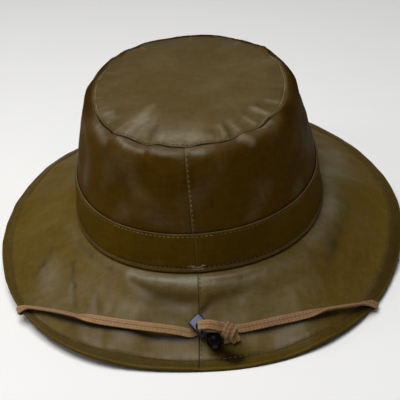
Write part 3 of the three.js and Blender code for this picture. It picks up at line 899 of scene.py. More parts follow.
@dataclass
class Finishes:
    """Every material of the scene, made once."""

    effects: Effects = field(default_factory=Effects)

    def __post_init__(self) -> None:
        """Makes the materials."""
        finishes = {
            "canvas": WaxedCanvas("waxed_canvas_finish"),
            # The wall and band get darker, browner copies of the canvas and the brim a brighter one: painted shade on
            # the wall and band, painted light on the brim.
            "wall_canvas": WaxedCanvas("wall_canvas_finish", (0.066, 0.034, 0.0030, 1), (0.052, 0.025, 0.0018, 1),
                                       1.12, 0.04, (0.2, 0.45)),
            "band_canvas": WaxedCanvas("band_canvas_finish", (0.080, 0.044, 0.0032, 1), (0.065, 0.033, 0.0020, 1),
                                       1.12, 0.04, (0.2, 0.45)),
            "brim_canvas": WaxedCanvas("brim_canvas_finish", (0.110, 0.070, 0.0080, 1), (0.088, 0.051, 0.0042, 1),
                                       1.40, 0.12, (0.25, 0.75)),
            "cord": BraidedCord("braided_cord_finish"),
            "plastic": BlackPlastic("black_plastic_finish"),
            # A darker, rougher copy for the ball, which lies in the cord's shade: its darker colour is painted shade.
            "satin_plastic": BlackPlastic("satin_plastic_finish", (0.003, 0.002, 0.002, 1), (0.06, 0.06, 0.07, 1),
                                          (0.30, 0.40), 0.04),
            "thread": Thread("pale_thread_finish"),
            "dark_thread": Thread("dark_thread_finish", (0.105, 0.075, 0.025, 1), (0.03, 0.018, 0.004, 1)),
            "floor": PaleFloor("pale_floor_finish"),
        }
        self.materials = {part: finish.make(self.effects) for part, finish in finishes.items()}

    def __getitem__(self, part: str) -> Material:
        """The material of a part."""
        return self.materials[part]


# Camera and studio


@dataclass(frozen=True)
class StudioCamera:
    """The camera at the photograph's angle.

    It stands back from the target against its view direction, which turns by `turned` round the vertical and
    looks down by `down`. It leans by `rolled` round that direction.
    """

    target: Point = (0.4, 0.4, 39.0)
    away: float = 700.0
    down: float = 0.54123544
    turned: float = -0.02026727
    rolled: float = 0.0884853
    lens: float = 86.28
    sensor: float = 36.0
    shift: tuple[float, float] = (0.0028, -0.0291)

    def make(self) -> None:
        """Adds the camera and makes it the scene's."""
        sine, cosine = math.sin(self.turned), math.cos(self.turned)
        right = np.array([cosine, -sine, 0])
        forward = np.array([sine * math.cos(self.down), cosine * math.cos(self.down), -math.sin(self.down)])
        up = np.cross(right, forward)
        lean, upright = math.sin(self.rolled), math.cos(self.rolled)
        data = bpy.data.cameras.new("studio_camera")
        data.lens, data.sensor_width, data.sensor_fit = self.lens, self.sensor, "HORIZONTAL"
        data.shift_x, data.shift_y = self.shift
        data.clip_start, data.clip_end = 0.01, 30.0
        camera = bpy.data.objects.new("studio_camera", data)
        turn = Matrix((right * upright - up * lean, right * lean + up * upright, -forward)).transposed()
        place = Vector((np.array(self.target) - forward * self.away) * MM)
        camera.matrix_world = Matrix.Translation(place) @ turn.to_4x4()
        bpy.context.scene.collection.objects.link(camera)
        bpy.context.scene.camera = camera


@dataclass(frozen=True)
class SoftLight:
    """A rectangular area light that looks at the hat."""

    name: str
    place: Point
    size: tuple[float, float]
    power: float
    colour: Point
    aim: Point = (0.0, 0.0, 0.06)

    def make(self) -> None:
        """Adds the light."""
        data = bpy.data.lights.new(self.name, "AREA")
        data.shape = "RECTANGLE"
        data.size, data.size_y = self.size
        data.energy, data.color = self.power, self.colour
        light = bpy.data.objects.new(self.name, data)
        light.location = self.place
        light.rotation_euler = (Vector(self.aim) - Vector(self.place)).to_track_quat("-Z", "Y").to_euler()
        bpy.context.scene.collection.objects.link(light)


@dataclass
class Studio:
    """The pale floor and the soft light over it."""

    floor_half: float = 4.0
    floor_steps: int = 8
    sky: Colour = (0.93, 0.96, 1.0, 1.0)
    sky_strength: float = 0.07
    lights: tuple[SoftLight, ...] = (
        SoftLight("overhead_softbox", (-0.24, -0.13, 1.25), (0.95, 0.85), 14.8, (1.0, 0.99, 0.97)),
        SoftLight("back_panel", (-0.1, 1.7, 0.95), (1.7, 0.9), 1.0, (0.98, 0.99, 1.0)),
        SoftLight("small_front_panel", (-0.02, -0.85, 1.28), (0.36, 0.36), 1.3, (0.86, 0.92, 1.0)),
        SoftLight("left_card", (-0.95, -0.02, 0.34), (0.5, 0.4), 1.5, (1.0, 0.94, 0.84)),
    )

    def make(self, finishes: Finishes) -> None:
        """Adds the floor, the lights and the dim surroundings, and sets how colours are shown."""
        side = self.floor_steps + 1
        places = grid_pairs(*[np.linspace(-self.floor_half, self.floor_half, side)] * 2).reshape(-1, 2)
        row, column = np.divmod(np.arange(self.floor_steps**2), self.floor_steps)
        first = row * side + column
        mesh = bpy.data.meshes.new("studio_floor")
        faces = np.stack([first, first + 1, first + side + 1, first + side], 1)
        mesh.from_pydata(np.pad(places, ((0, 0), (0, 1))).tolist(), [], faces.tolist())
        new_object("studio_floor", mesh, finishes["floor"])
        for light in self.lights:
            light.make()
        world = bpy.data.worlds.new("soft_room")
        world.use_nodes = True
        background = world.node_tree.nodes["Background"]
        background.inputs["Color"].default_value = self.sky
        background.inputs["Strength"].default_value = self.sky_strength
        bpy.context.scene.world = world
        bpy.context.scene.view_settings.view_transform = "Standard"
        bpy.context.scene.view_settings.look = "None"


# The canvas shells and their stitches


@dataclass(frozen=True)
class StitchRow:
    """A row of stitches: short arched capsules of thread, set along a line on the cloth."""

    name: str
    pitch: float = 3.3
    length: float = 2.5
    radius: float = 0.3
    lift: float = 0.12
    lean: float = 3.0
    seed: int = 3
    sides: int = 6

    def make(self, line: Array, normals: Array, thread: Material) -> None:
        """Makes the row.

        Args:
            line: Closely spaced points of the line, in millimetres.
            normals: The cloth's normals there.
            thread: The thread's material.
        """
        way = way_along(line)
        count = max(int(way[-1] / self.pitch), 1)
        centre = (np.arange(count) + 0.5) * way[-1] / count
        rng = np.random.default_rng(self.seed)
        half = self.length / 2 * rng.uniform(0.86, 1.08, count)
        normal = unit(read_line(way, normals, centre))
        ahead, behind = np.minimum(centre + 0.5, way[-1]), np.maximum(centre - 0.5, 0)
        along = unit(read_line(way, line, ahead) - read_line(way, line, behind))
        side = unit(np.cross(normal, along))
        lean = np.radians(self.lean) * rng.normal(size=count)
        along = along * np.cos(lean)[:, None] + side * np.sin(lean)[:, None]
        self.capsules(read_line(way, line, centre), along, normal, half, thread)

    def capsules(self, middle: Array, along: Array, normal: Array, half: Array, thread: Material) -> None:
        """Makes capsules of thread as one piece.

        Each is a tube of rings whose middle line is raised along the normal by lift - 0.5 * t^4, t running
        from -1 to 1, and whose radius closes at both ends.

        Args:
            middle: Their middles.
            along: Their ways.
            normal: The cloth's normals at them.
            half: Their half lengths.
            thread: Their material.
        """
        along = unit(along - normal * np.einsum("ij,ij->i", along, normal)[:, None])
        side = np.cross(normal, along)
        t = np.array([-1, -0.82, -0.42, 0, 0.42, 0.82, 1])
        ring = np.array([0.3, 0.85, 1, 1, 1, 0.85, 0.3]) * self.radius
        turn = np.arange(self.sides) * TURN / self.sides
        spine = (
            middle[:, None] + along[:, None] * (t[None, :] * half[:, None])[..., None]
            + normal[:, None] * (self.lift - 0.5 * t**4)[None, :, None]
        )
        points = (
            spine[:, :, None]
            + side[:, None, None] * (ring[:, None] * np.cos(turn))[None, ..., None]
            + normal[:, None, None] * (ring[:, None] * np.sin(turn))[None, ..., None]
        )
        rings, sides, last = len(t) - 1, self.sides, len(t) * self.sides
        row, column = np.divmod(np.arange(rings * sides), sides)
        beside = (column + 1) % sides
        quads = np.stack([row * sides + column, (row + 1) * sides + column, (row + 1) * sides + beside,
                          row * sides + beside], 1)
        caps = np.stack([np.arange(sides), rings * sides + np.arange(sides)[::-1]])
        shift = (np.arange(len(middle)) * last)[:, None, None]
        faces = (quads[None] + shift).reshape(-1, 4).tolist() + (caps[None] + shift).reshape(-1, sides).tolist()
        mesh = bpy.data.meshes.new(self.name)
        mesh.from_pydata((points.reshape(-1, 3) * MM).tolist(), [], faces)
        corner = np.empty(len(mesh.loops), dtype=np.int32)
        mesh.loops.foreach_get("vertex_index", corner)
        place = corner % last
        uv = np.stack([t[place // sides] * self.length / 2, turn[place % sides] * self.radius], 1) * MM
        mesh.uv_layers.new(name="cloth").data.foreach_set("uv", uv.astype(np.float32).ravel())
        mesh.shade_smooth()
        dress(new_object(self.name, mesh, thread), Slot.CANVAS)


def way_along(line: Array) -> Array:
    """The way from a line's start to each of its points."""
    return np.concatenate([[0], np.cumsum(np.linalg.norm(np.diff(line, axis=0), axis=1))])


def read_line(way: Array, values: Array, at: Array) -> Array:
    """Vectors given at ways along a line, read at other ways along it."""
    return np.stack([np.interp(at, way, values[:, axis]) for axis in range(3)], -1)


class Shell:
    """A shell of canvas: a plain form of the hat, and the relief by which its outer face stands off it.

    Attributes:
        form: The plain form, from angles and places along.
        step: The small step along that goes up the form.
    """

    form: Surface
    step: float

    def relief(self, angle: Array, along: Array) -> Array:
        """How far the outer face stands off the plain form."""
        raise NotImplementedError

    def marks(self, angle: Array, along: Array, shape: tuple[int, int]) -> dict[str, Array]:
        """The places paler by wear and painted highlights, darker by dirt and painted shade, and waxed.

        Args:
            angle: Angles of the columns.
            along: Places of the outer face's rows.
            shape: Rows and columns of the whole skin.

        Returns:
            The marks, by name.
        """
        raise NotImplementedError

    def bent(self, angle: Array, along: Array) -> Array:
        """The plain form as the seams bend it."""
        return self.form(angle, along)

    def normals(self, angle: Array, along: Array) -> Array:
        """The plain form's normals."""
        return normals_of(self.form, angle, along, self.step)

    def face(self, angle: Array, along: Array) -> Array:
        """The finished outer face."""
        return self.lifted(angle, along, self.relief(angle, along))

    def lifted(self, angle: Array, along: Array, lift: Array) -> Array:
        """Points that stand off the plain form by a lift."""
        return self.bent(angle, along) + self.normals(angle, along) * np.asarray(lift)[..., None]

    def rolled(self, angle: Array, last: Array, out: Array, sink: float, steps: int) -> Array:
        """The rounded edge past a face's last row: half a turn, out by the sine and down by the cosine.

        Args:
            angle: Angles of the columns.
            last: The last row's place along.
            out: How far along the edge reaches past it.
            sink: Half of what the edge goes down.
            steps: Rows of the half turn, with its first and last, which are left out.

        Returns:
            The edge's points.
        """
        swing = np.linspace(0, math.pi, steps)[1:-1, None]
        lift = sink * (np.cos(swing) - 1) + self.relief(angle, last) * (0.5 + 0.5 * np.cos(swing))
        return self.lifted(angle, last + np.sin(swing) * out, lift)

    def sew(self, name: str, angle: Array, along: Array, thread: Material, **sizes: float) -> None:
        """Lays a row of stitches on the outer face."""
        StitchRow(name, **sizes).make(self.face(angle, along), self.normals(angle, along), thread)


# Millimetres in a degree round the hat, and in a step of 1 along, by which each shell's strokes are measured.
BRIM_SCALE, WALL_SCALE, SHOULDER_SCALE, TIP_SCALE = (2.1, 58.0), (1.55, 1.0), (1.4, 1.0), (1.3, 78.0)


@dataclass
class Brim(Shell):
    """The brim: top face, turned hem, underside and the margin sewn in under the crown."""

    around: int = 700
    seam: float = 268.2
    # Millimetres in a degree at the back seam.
    seam_scale: float = 2.25
    top_rows: int = 46
    hem_rows: int = 26
    under_rows: int = 22
    margin: float = 3.5
    hem_lift: float = 0.4
    # The hem's stitch line: angle and place across.
    hem_line: Rows = (
        (0, 0.842), (45, 0.84), (90, 0.838), (135, 0.84), (178, 0.86), (190, 0.872), (202, 0.893), (210, 0.922),
        (217, 0.934), (227, 0.924), (236, 0.906), (247, 0.88), (256, 0.855), (268, 0.842), (275, 0.832), (283, 0.834),
        (290, 0.845), (297, 0.866), (304, 0.88), (312, 0.89), (322, 0.862), (335, 0.845),
    )
    folds: Strokes = Strokes(BRIM_SCALE, (
        (260, 0.35, 264, 0.37, 3, 0.35), (283, 0.31, 288, 0.26, 3.5, 0.35), (243, 0.09, 259, 0.12, 2.6, 0.3),
        (259, 0.12, 267, 0.15, 2.6, 0.3), (269, 0.17, 289, 0.155, 1.8, 0.35), (273, 0.12, 284, 0.135, 1.3, -0.3),
        (284, 0.135, 293, 0.11, 1.3, -0.3), (208, 0.09, 220, 0.1, 3, -0.45), (220, 0.1, 231.5, 0.11, 3, -0.4),
        (215.5, 0.27, 223, 0.43, 2.4, -0.5), (223, 0.43, 228.5, 0.59, 2.4, -0.5), (233, 0.41, 236, 0.53, 2.2, -0.4),
        (232, 0.34, 234, 0.82, 4, 0.45), (222, 0.35, 222, 0.85, 4.5, 0.4), (201.5, 0.38, 205, 0.53, 3.2, -0.5),
        (205, 0.53, 207.5, 0.68, 3.2, -0.5), (216, 0.55, 213, 0.8, 4, 0.45), (240, 0.45, 241, 0.85, 3, -0.35),
        (349, 0.31, 334.5, 0.28, 4.2, -0.5), (334.5, 0.28, 318.5, 0.34, 4.2, -0.7), (329, 0.4, 314, 0.7, 5, 0.5),
        (346, 0.3, 340, 0.6, 5, 0.5), (300, 0.4, 297, 0.78, 4, 0.4), (283, 0.35, 284, 0.72, 5, 0.4),
        (190, 0.3, 188, 0.75, 5, 0.5), (176, 0.2, 172, 0.7, 5, -0.5), (150, 0.2, 146, 0.8, 7, 0.7),
        (128, 0.3, 126, 0.8, 6, -0.6), (32, 0.2, 36, 0.8, 7, 0.7), (52, 0.3, 55, 0.8, 6, -0.6),
        (8, 0.2, 4, 0.7, 6, 0.5),
    ))
    # The soft valley on both sides of the back seam, with painted shade in its depth.
    valley: Strokes = Strokes(BRIM_SCALE, (
        (243, 0.145, 246.5, 0.185, 3, 0.6), (246.5, 0.185, 250, 0.215, 3.4, 0.85), (250, 0.215, 257, 0.24, 3.5, 0.95),
        (257, 0.24, 261.5, 0.252, 3.5, 0.95), (261.5, 0.252, 267, 0.262, 3.5, 0.95), (269, 0.35, 272, 0.28, 2.6, 1),
        (272, 0.27, 277, 0.246, 3, 0.9), (277, 0.246, 283, 0.235, 3, 0.72), (283, 0.235, 290, 0.21, 2.8, 0.5),
    ))
    waxed: Strokes = Strokes(BRIM_SCALE, (
        (213, 0.58, 219, 0.45, 8, 0.6), (340, 0.3, 325, 0.6, 12, -0.5), (273.5, 0.74, 280, 0.88, 8, -1.2),
    ))
    # Paler strokes: rubbed wax, and painted highlights where the cloth faces the light.
    rubbed: Strokes = Strokes(BRIM_SCALE, (
        (208, 0.46, 213, 0.56, 8.5, 0.34), (213, 0.56, 220, 0.71, 9, 0.26), (226, 0.6, 236, 0.62, 8, 0.16),
        (224, 0.42, 236, 0.3, 7, 0.2), (241, 0.07, 267, 0.12, 3.4, 1), (292, 0.36, 308, 0.38, 8, 0.2),
        (318, 0.08, 346, 0.08, 6, 0.42), (340, 0.08, 366, 0.1, 7, 0.6), (8, 0.2, 28, 0.5, 10, 0.55),
        (260, 0.36, 264, 0.38, 3, 0.22), (283, 0.33, 289, 0.25, 4, 0.18), (269, 0.1, 292, 0.15, 2.6, 0.3),
        (270, 0.04, 288, 0.03, 2, 0.2), (300, 0.1, 345, 0.1, 4, 0.12), (286, 0.12, 312, 0.19, 3.6, 0.28),
        (284, 0.62, 290, 0.7, 6, 0.15), (251, 0.42, 264, 0.4, 6.5, 0.22), (275, 0.42, 287, 0.4, 6.5, 0.2),
        (270, 0.17, 288, 0.165, 2.4, 0.28), (196, 0.1, 226, 0.12, 3.5, 0.18),
    ))
    # The shadow where the chin cord rests on the cloth.
    under_cord: Strokes = Strokes(BRIM_SCALE, (
        (218, 0.93, 223.5, 0.81, 1.5, 0.75), (223.5, 0.81, 230.5, 0.735, 1.5, 0.9),
        (230.5, 0.735, 240.5, 0.67, 1.5, 0.95), (240.5, 0.67, 250, 0.63, 1.5, 0.95),
        (250, 0.63, 266.5, 0.605, 1.5, 0.95), (280, 0.6, 290.5, 0.62, 1.3, 0.75), (290.5, 0.62, 300, 0.71, 1.3, 0.75),
        (300, 0.71, 307, 0.8, 1.3, 0.65),
    ))
    # Painted shade: a cast shadow below the lock's ball, and shade along the folds and dips.
    shaded: Strokes = Strokes(BRIM_SCALE, (
        (273.5, 0.74, 277, 0.87, 4.6, 0.9), (276, 0.82, 281, 0.8, 4, 0.3), (291, 0.77, 300, 0.82, 4, 0.22),
        (275, 0.125, 284, 0.135, 1.3, 0.25), (284, 0.135, 293, 0.11, 1.3, 0.25), (288.5, 0.42, 292, 0.27, 3, 0.15),
        (243, 0.27, 262, 0.32, 5, 0.12), (232, 0.8, 245, 0.72, 7, 0.12), (208, 0.09, 220, 0.1, 2.6, 0.24),
        (220, 0.1, 231.5, 0.11, 2.6, 0.24), (231.5, 0.11, 238, 0.09, 2.4, 0.2), (215.5, 0.27, 223, 0.43, 2, 0.28),
        (223, 0.43, 228.5, 0.59, 2, 0.3), (233, 0.41, 236, 0.53, 2, 0.26), (201.5, 0.38, 205, 0.53, 3, 0.22),
        (205, 0.53, 207.5, 0.68, 3, 0.22), (349, 0.31, 334.5, 0.28, 3.6, 0.14), (334.5, 0.28, 326.5, 0.29, 3.6, 0.24),
        (326.5, 0.29, 318.5, 0.34, 3.8, 0.28),
    ))
    # Darker stretches of the turned hem: angle, degrees wide, shade.
    hem_shades: Rows = ((246, 30, 0.22), (332, 36, 0.34), (205, 28, 0.12))
    # The shade of the rounded edge, row by row.
    edge_shade: tuple[float, ...] = (0.1, 0.25, 0.45, 0.6, 0.75, 0.85, 0.9, 0.9)

    form = staticmethod(FORM.brim)
    step = -0.02

    def hem(self, angle: Array) -> Array:
        """The place across of the hem's stitch line at each angle."""
        return smooth_table(self.hem_line, angle, 360.0)

    def from_seam(self, angle: Array, across: Array) -> Array:
        """Millimetres round from the back seam, which drifts a little toward the edge."""
        return apart(angle, self.seam_at(across)) * self.seam_scale

    def seam_at(self, across: Array) -> Array:
        """The back seam's angle at each place across."""
        return self.seam - 0.95 * across

    def from_hem(self, angle: Array, across: Array) -> Array:
        """Millimetres out from the hem's stitch line."""
        return (across - self.hem(angle)) * BRIM_SCALE[1]

    def relief(self, angle: Array, across: Array) -> Array:
        """How far the top face stands off its plain form: folds, the raised hem, grooves and the back lap."""
        points = FORM.brim(angle, across)
        away, round_seam = self.from_hem(angle, across), self.from_seam(angle, across)
        soft = Unevenness(11, 34.0, 0.22).at(points) + Unevenness(12, 13.0, 0.07).at(points)
        folds = self.folds.total(angle, across) - 0.85 * self.valley.most(angle, across)
        hem = self.hem_lift * fade(away, -0.464, 0.696) - 0.24 * bell(away, 0.75)
        puckers = Unevenness(13, 6.5, 0.10).at(points) * bell(away, 5.0)
        seam = -0.28 * bell(round_seam, 0.4) + 0.28 * fade(-round_seam, -0.4, 0.4) * fade(round_seam, -9.0, -6.5)
        return fade(across, 0.02, 0.12) * (soft + folds) + hem + puckers + seam * fade(across, 0.0, 0.03)

    def skin(self) -> Skin:
        """The whole brim as one closed grid: margin, top, rounded edge, underside."""
        angle = angles_round(self.around, self.seam - 0.45, 1.7, 0.12)
        reach = FORM.reach(angle)
        last = 1 - 1.0 / reach
        share = np.concatenate([np.linspace(0, 0.80, self.top_rows), np.linspace(0.80, 1, self.hem_rows)[1:]])
        across = share[:, None] * last
        edge = self.rolled(angle, last, (1.0 + 0.9 * bell(apart(angle, 268), 45)) / reach, 1.0, 9)
        back = np.linspace(1, 0, self.under_rows)[:, None] * last
        inner = np.minimum(self.relief(angle, back) * 0.6 * fade(back, 0.05, 0.2), 0.3) - FORM.cloth
        foot, out = FORM.oval(FORM.brim_foot, angle)
        margins = [FORM.placed(foot - out * self.margin, height)[None] for height in (0.0, -FORM.cloth)]
        points = np.concatenate([margins[0], self.face(angle, across), edge, self.lifted(angle, back, inner),
                                 margins[1]])
        points[..., 2] = np.maximum(points[..., 2], 0.0)
        return Skin(points, plan_uv(points, True), True, self.marks(angle, across, points.shape[:2]))

    def marks(self, angle: Array, across: Array, shape: tuple[int, int]) -> dict[str, Array]:
        """Places paler by wear and painted highlights, darker by dirt and painted shade, and waxed."""
        away = self.from_hem(angle, across)
        # Paler: wear and painted highlights. Darker: hem groove and back seam, painted shade on the hem, the shade
        # strokes and valley, and the painted shadow under the cord.
        worn = 0.10 * bell(away - 2.0, 1.6) + self.rubbed.total(angle, across)
        worn = worn + 0.05 * Unevenness(21, 30.0, 0.5).at(FORM.brim(angle, across))
        plain = 1 - 0.7 * bell(apart(angle, 175), 30)
        hem_shade = 0.26 + sum(shade * bell(apart(angle, at), wide) for at, wide, shade in self.hem_shades)
        deep = 0.35 * plain * bell(away, 0.8) + 0.5 * bell(self.from_seam(angle, across), 0.35)
        deep = deep + hem_shade * fade(away, -0.5, 1.5) + self.shaded.total(angle, across)
        deep = deep + 0.50 * self.valley.most(angle, across) + self.under_cord.most(angle, across)
        past_left = np.mod(angle - 180, 360)
        near = fade(past_left, -5, 25) * fade(-past_left, -178, -150)
        wax = (0.9 - 0.85 * fade(away, -1.0, 1.0) + self.waxed.total(angle, across)) * (0.1 + 0.9 * near)
        marks = spread_marks(shape, 1, 1.5, worn=worn, deep=deep, wax=wax)
        marks["wax"][len(across) :] = 0.1
        marks["deep"][len(across) : len(across) + len(self.edge_shade)] = np.array(self.edge_shade)[:, None]
        return marks

    def make(self, finishes: Finishes) -> None:
        """Makes the brim and its stitches."""
        self.skin().piece("brim_canvas", finishes["brim_canvas"], Slot.CANVAS, "brim")
        angle = np.linspace(self.seam + 1.0, self.seam + 359.0, 2400)
        self.sew("hem_stitches", angle, self.hem(angle), finishes["dark_thread"])
        across = np.linspace(0.05, 0.985, 300)
        beside = self.seam_at(across) + 1.3 / self.seam_scale
        self.sew("brim_seam_stitches", beside, across, finishes["dark_thread"], pitch=3.0, length=2.1, radius=0.26)


@dataclass
class CrownWall(Shell):
    """The wall of the crown with its rolled upper edge and the seam up its back."""

    around: int = 620
    seam: float = 266.6
    # Millimetres in a degree at the back seam.
    seam_scale: float = 1.8
    top: float = 88.4
    folds: Strokes = Strokes(WALL_SCALE, (
        (247.5, 50, 249.5, 43, 5, 0.6), (221, 60, 223, 44, 6, -0.5), (300.5, 79, 306, 72, 4, 0.5),
        (284, 73, 290, 60, 6, 0.5), (236, 70, 244, 58, 6, -0.5), (190, 66, 196, 50, 7, 0.3),
        (276, 60, 280, 46, 6, -0.4), (318, 66, 322, 46, 7, -0.6), (205, 76, 212, 66, 5, 0.5),
        (60, 70, 66, 48, 8, -0.7), (118, 72, 112, 46, 8, 0.7), (350, 74, 344, 56, 7, 0.5),
    ))
    # Ridges and a dip on the shoulder; the marks also paint highlights along the ridges.
    shoulder: Strokes = Strokes(SHOULDER_SCALE, (
        (229, 86.2, 236, 83.2, 1.5, 0.65), (236, 83.2, 246, 81.8, 1.5, 0.7), (251, 83.4, 264, 82.8, 2.6, 0.42),
        (268.5, 84, 275, 83.6, 2.8, 0.42), (296, 86.5, 299, 81, 3.2, 0.75), (306, 87, 316, 86.4, 1.4, 0.5),
        (213, 84.2, 222, 80, 3, 0.5), (283, 84, 291, 84, 2.6, -0.3),
    ))
    # Painted shade: places of the wall painted darker.
    dark_zones: Strokes = Strokes(WALL_SCALE, (
        (225, 75, 234, 62, 6, 1), (234, 62, 240, 50, 5, 0.7),
    ))
    # Painted light: places of the wall painted paler.
    pale_zones: Strokes = Strokes(WALL_SCALE, (
        (252, 37, 263, 36, 6, 1), (240, 58, 250, 42, 6, 0.6), (237, 41, 247, 38, 5, 0.9), (334, 70, 341, 42, 8, 0.9),
    ))

    form = staticmethod(FORM.crown)
    step = 1.0

    def seam_at(self, up: Array) -> Array:
        """The back seam's angle, which wanders a little with the height."""
        return 267.2 - 1.1 * up / 89.0

    def relief(self, angle: Array, up: Array) -> Array:
        """How far the wall stands off its plain form: unevenness, folds, seam groove and edge puckers."""
        points = FORM.crown(angle, up)
        soft = Unevenness(31, 30.0, 0.30).at(points) + Unevenness(32, 11.0, 0.06).at(points)
        folds = self.folds.total(angle, up) + self.shoulder.total(angle, up)
        puckers = Unevenness(33, 7.0, 0.16).at(points) * fade(up, 80.0, 88.0)
        puckers = puckers + 0.5 * rim_wave(angle) * bell(up - 86, 4.0)
        away = apart(angle, self.seam_at(up)) * self.seam_scale
        seam = 0.3 * fade(away, -0.4, 0.4) * fade(-away, -5.5, -4.0) - 0.28 * bell(away, 0.4)
        return fade(up, 30.0, 36.0) * (soft + folds) + puckers + seam * fade(up, 29.5, 31.0)

    def bent(self, angle: Array, up: Array) -> Array:
        """The wall's plain form with its upper edge moved by the seam's bends."""
        angle, up = np.broadcast_arrays(angle, up)
        return bent_rim(FORM.crown(angle, up), angle, fade(up, 82.5, 88.5))

    def skin(self) -> Skin:
        """The wall as one closed grid: outer face, rolled top edge, inner face and lower edge."""
        angle = angles_round(self.around, self.seam, 1.9, 0.14)
        lowest = FORM.seam_clear
        up = np.concatenate([[lowest, 8, 16, 24], np.linspace(27.5, 72, 38), np.linspace(73, self.top, 30)])[:, None]
        back = np.concatenate([np.linspace(self.top, 70, 10), np.linspace(62, 8, 9), [lowest]])[:, None]
        inside = np.minimum(self.relief(angle, back), 0.2) * 0.5 - FORM.cloth
        points = np.concatenate([self.face(angle, up), self.rolled(angle, self.top, 0.6, 0.9, 8),
                                 self.lifted(angle, back, inside)])
        return Skin(points, wall_uv(points), True, self.marks(angle, up, points.shape[:2]))

    def marks(self, angle: Array, up: Array, shape: tuple[int, int]) -> dict[str, Array]:
        """Painted highlights and rubbing on the shoulder, the dark seam, painted shade on the edge and above the
        band, and the wax.
        """
        points = FORM.crown(angle, up)
        away = apart(angle, self.seam_at(up)) * self.seam_scale
        near = near_side(angle)
        # Paler: painted highlights on the shoulder's ridges and along its roll at the back, random tone, the seam's
        # lip, the lit zones and the top edge at the sides.
        worn = self.shoulder.total(angle, up) * 0.85 + 0.20 * near * fade(up, 80.5, 85.0)
        worn = worn + 0.06 * Unevenness(41, 26.0, 1.0).at(points) + 0.30 * bell(away - 0.8, 0.5)
        worn = worn + 0.10 * self.pale_zones.total(angle, up) + 0.4 * (1 - near) * bell(up - 88.6, 0.7)
        # Darker: the seam, painted shade where the seam round the tip lies open, above the band, on the shoulder at
        # the sides and front, and in the shaded zones.
        deep = 0.55 * bell(away, 0.35) + 0.8 * near * bell(up - 88.9, 0.6) + 0.3 * bell(up - FORM.band_height, 1.0)
        deep = deep + 0.6 * (1 - near) * bell(up - 84.0, 5.0) + 0.22 * self.dark_zones.total(angle, up)
        wax = 0.9 * fade(up, 79.5, 85.0) * (0.1 + 0.9 * near)
        wax = wax + Unevenness(42, 9.0, 0.35).at(points) * near * fade(up, 78, 82)
        marks = spread_marks(shape, 0, 1.0, worn=worn, deep=deep, wax=wax)
        # Painted shade on the rolled top edge where the seam round the tip lies open.
        marks["deep"][len(up) : len(up) + 6] = 0.9 * near
        return marks

    def make(self, finishes: Finishes) -> None:
        """Makes the wall and the topstitch beside its back seam."""
        self.skin().piece("crown_wall_canvas", finishes["wall_canvas"], Slot.CANVAS, "crown_side")
        up = np.linspace(87.4, 30.2, 260)
        beside = self.seam_at(up) + 1.9 / self.seam_scale
        self.sew("crown_seam_stitches", beside, up, finishes["thread"], length=2.0, radius=0.2)


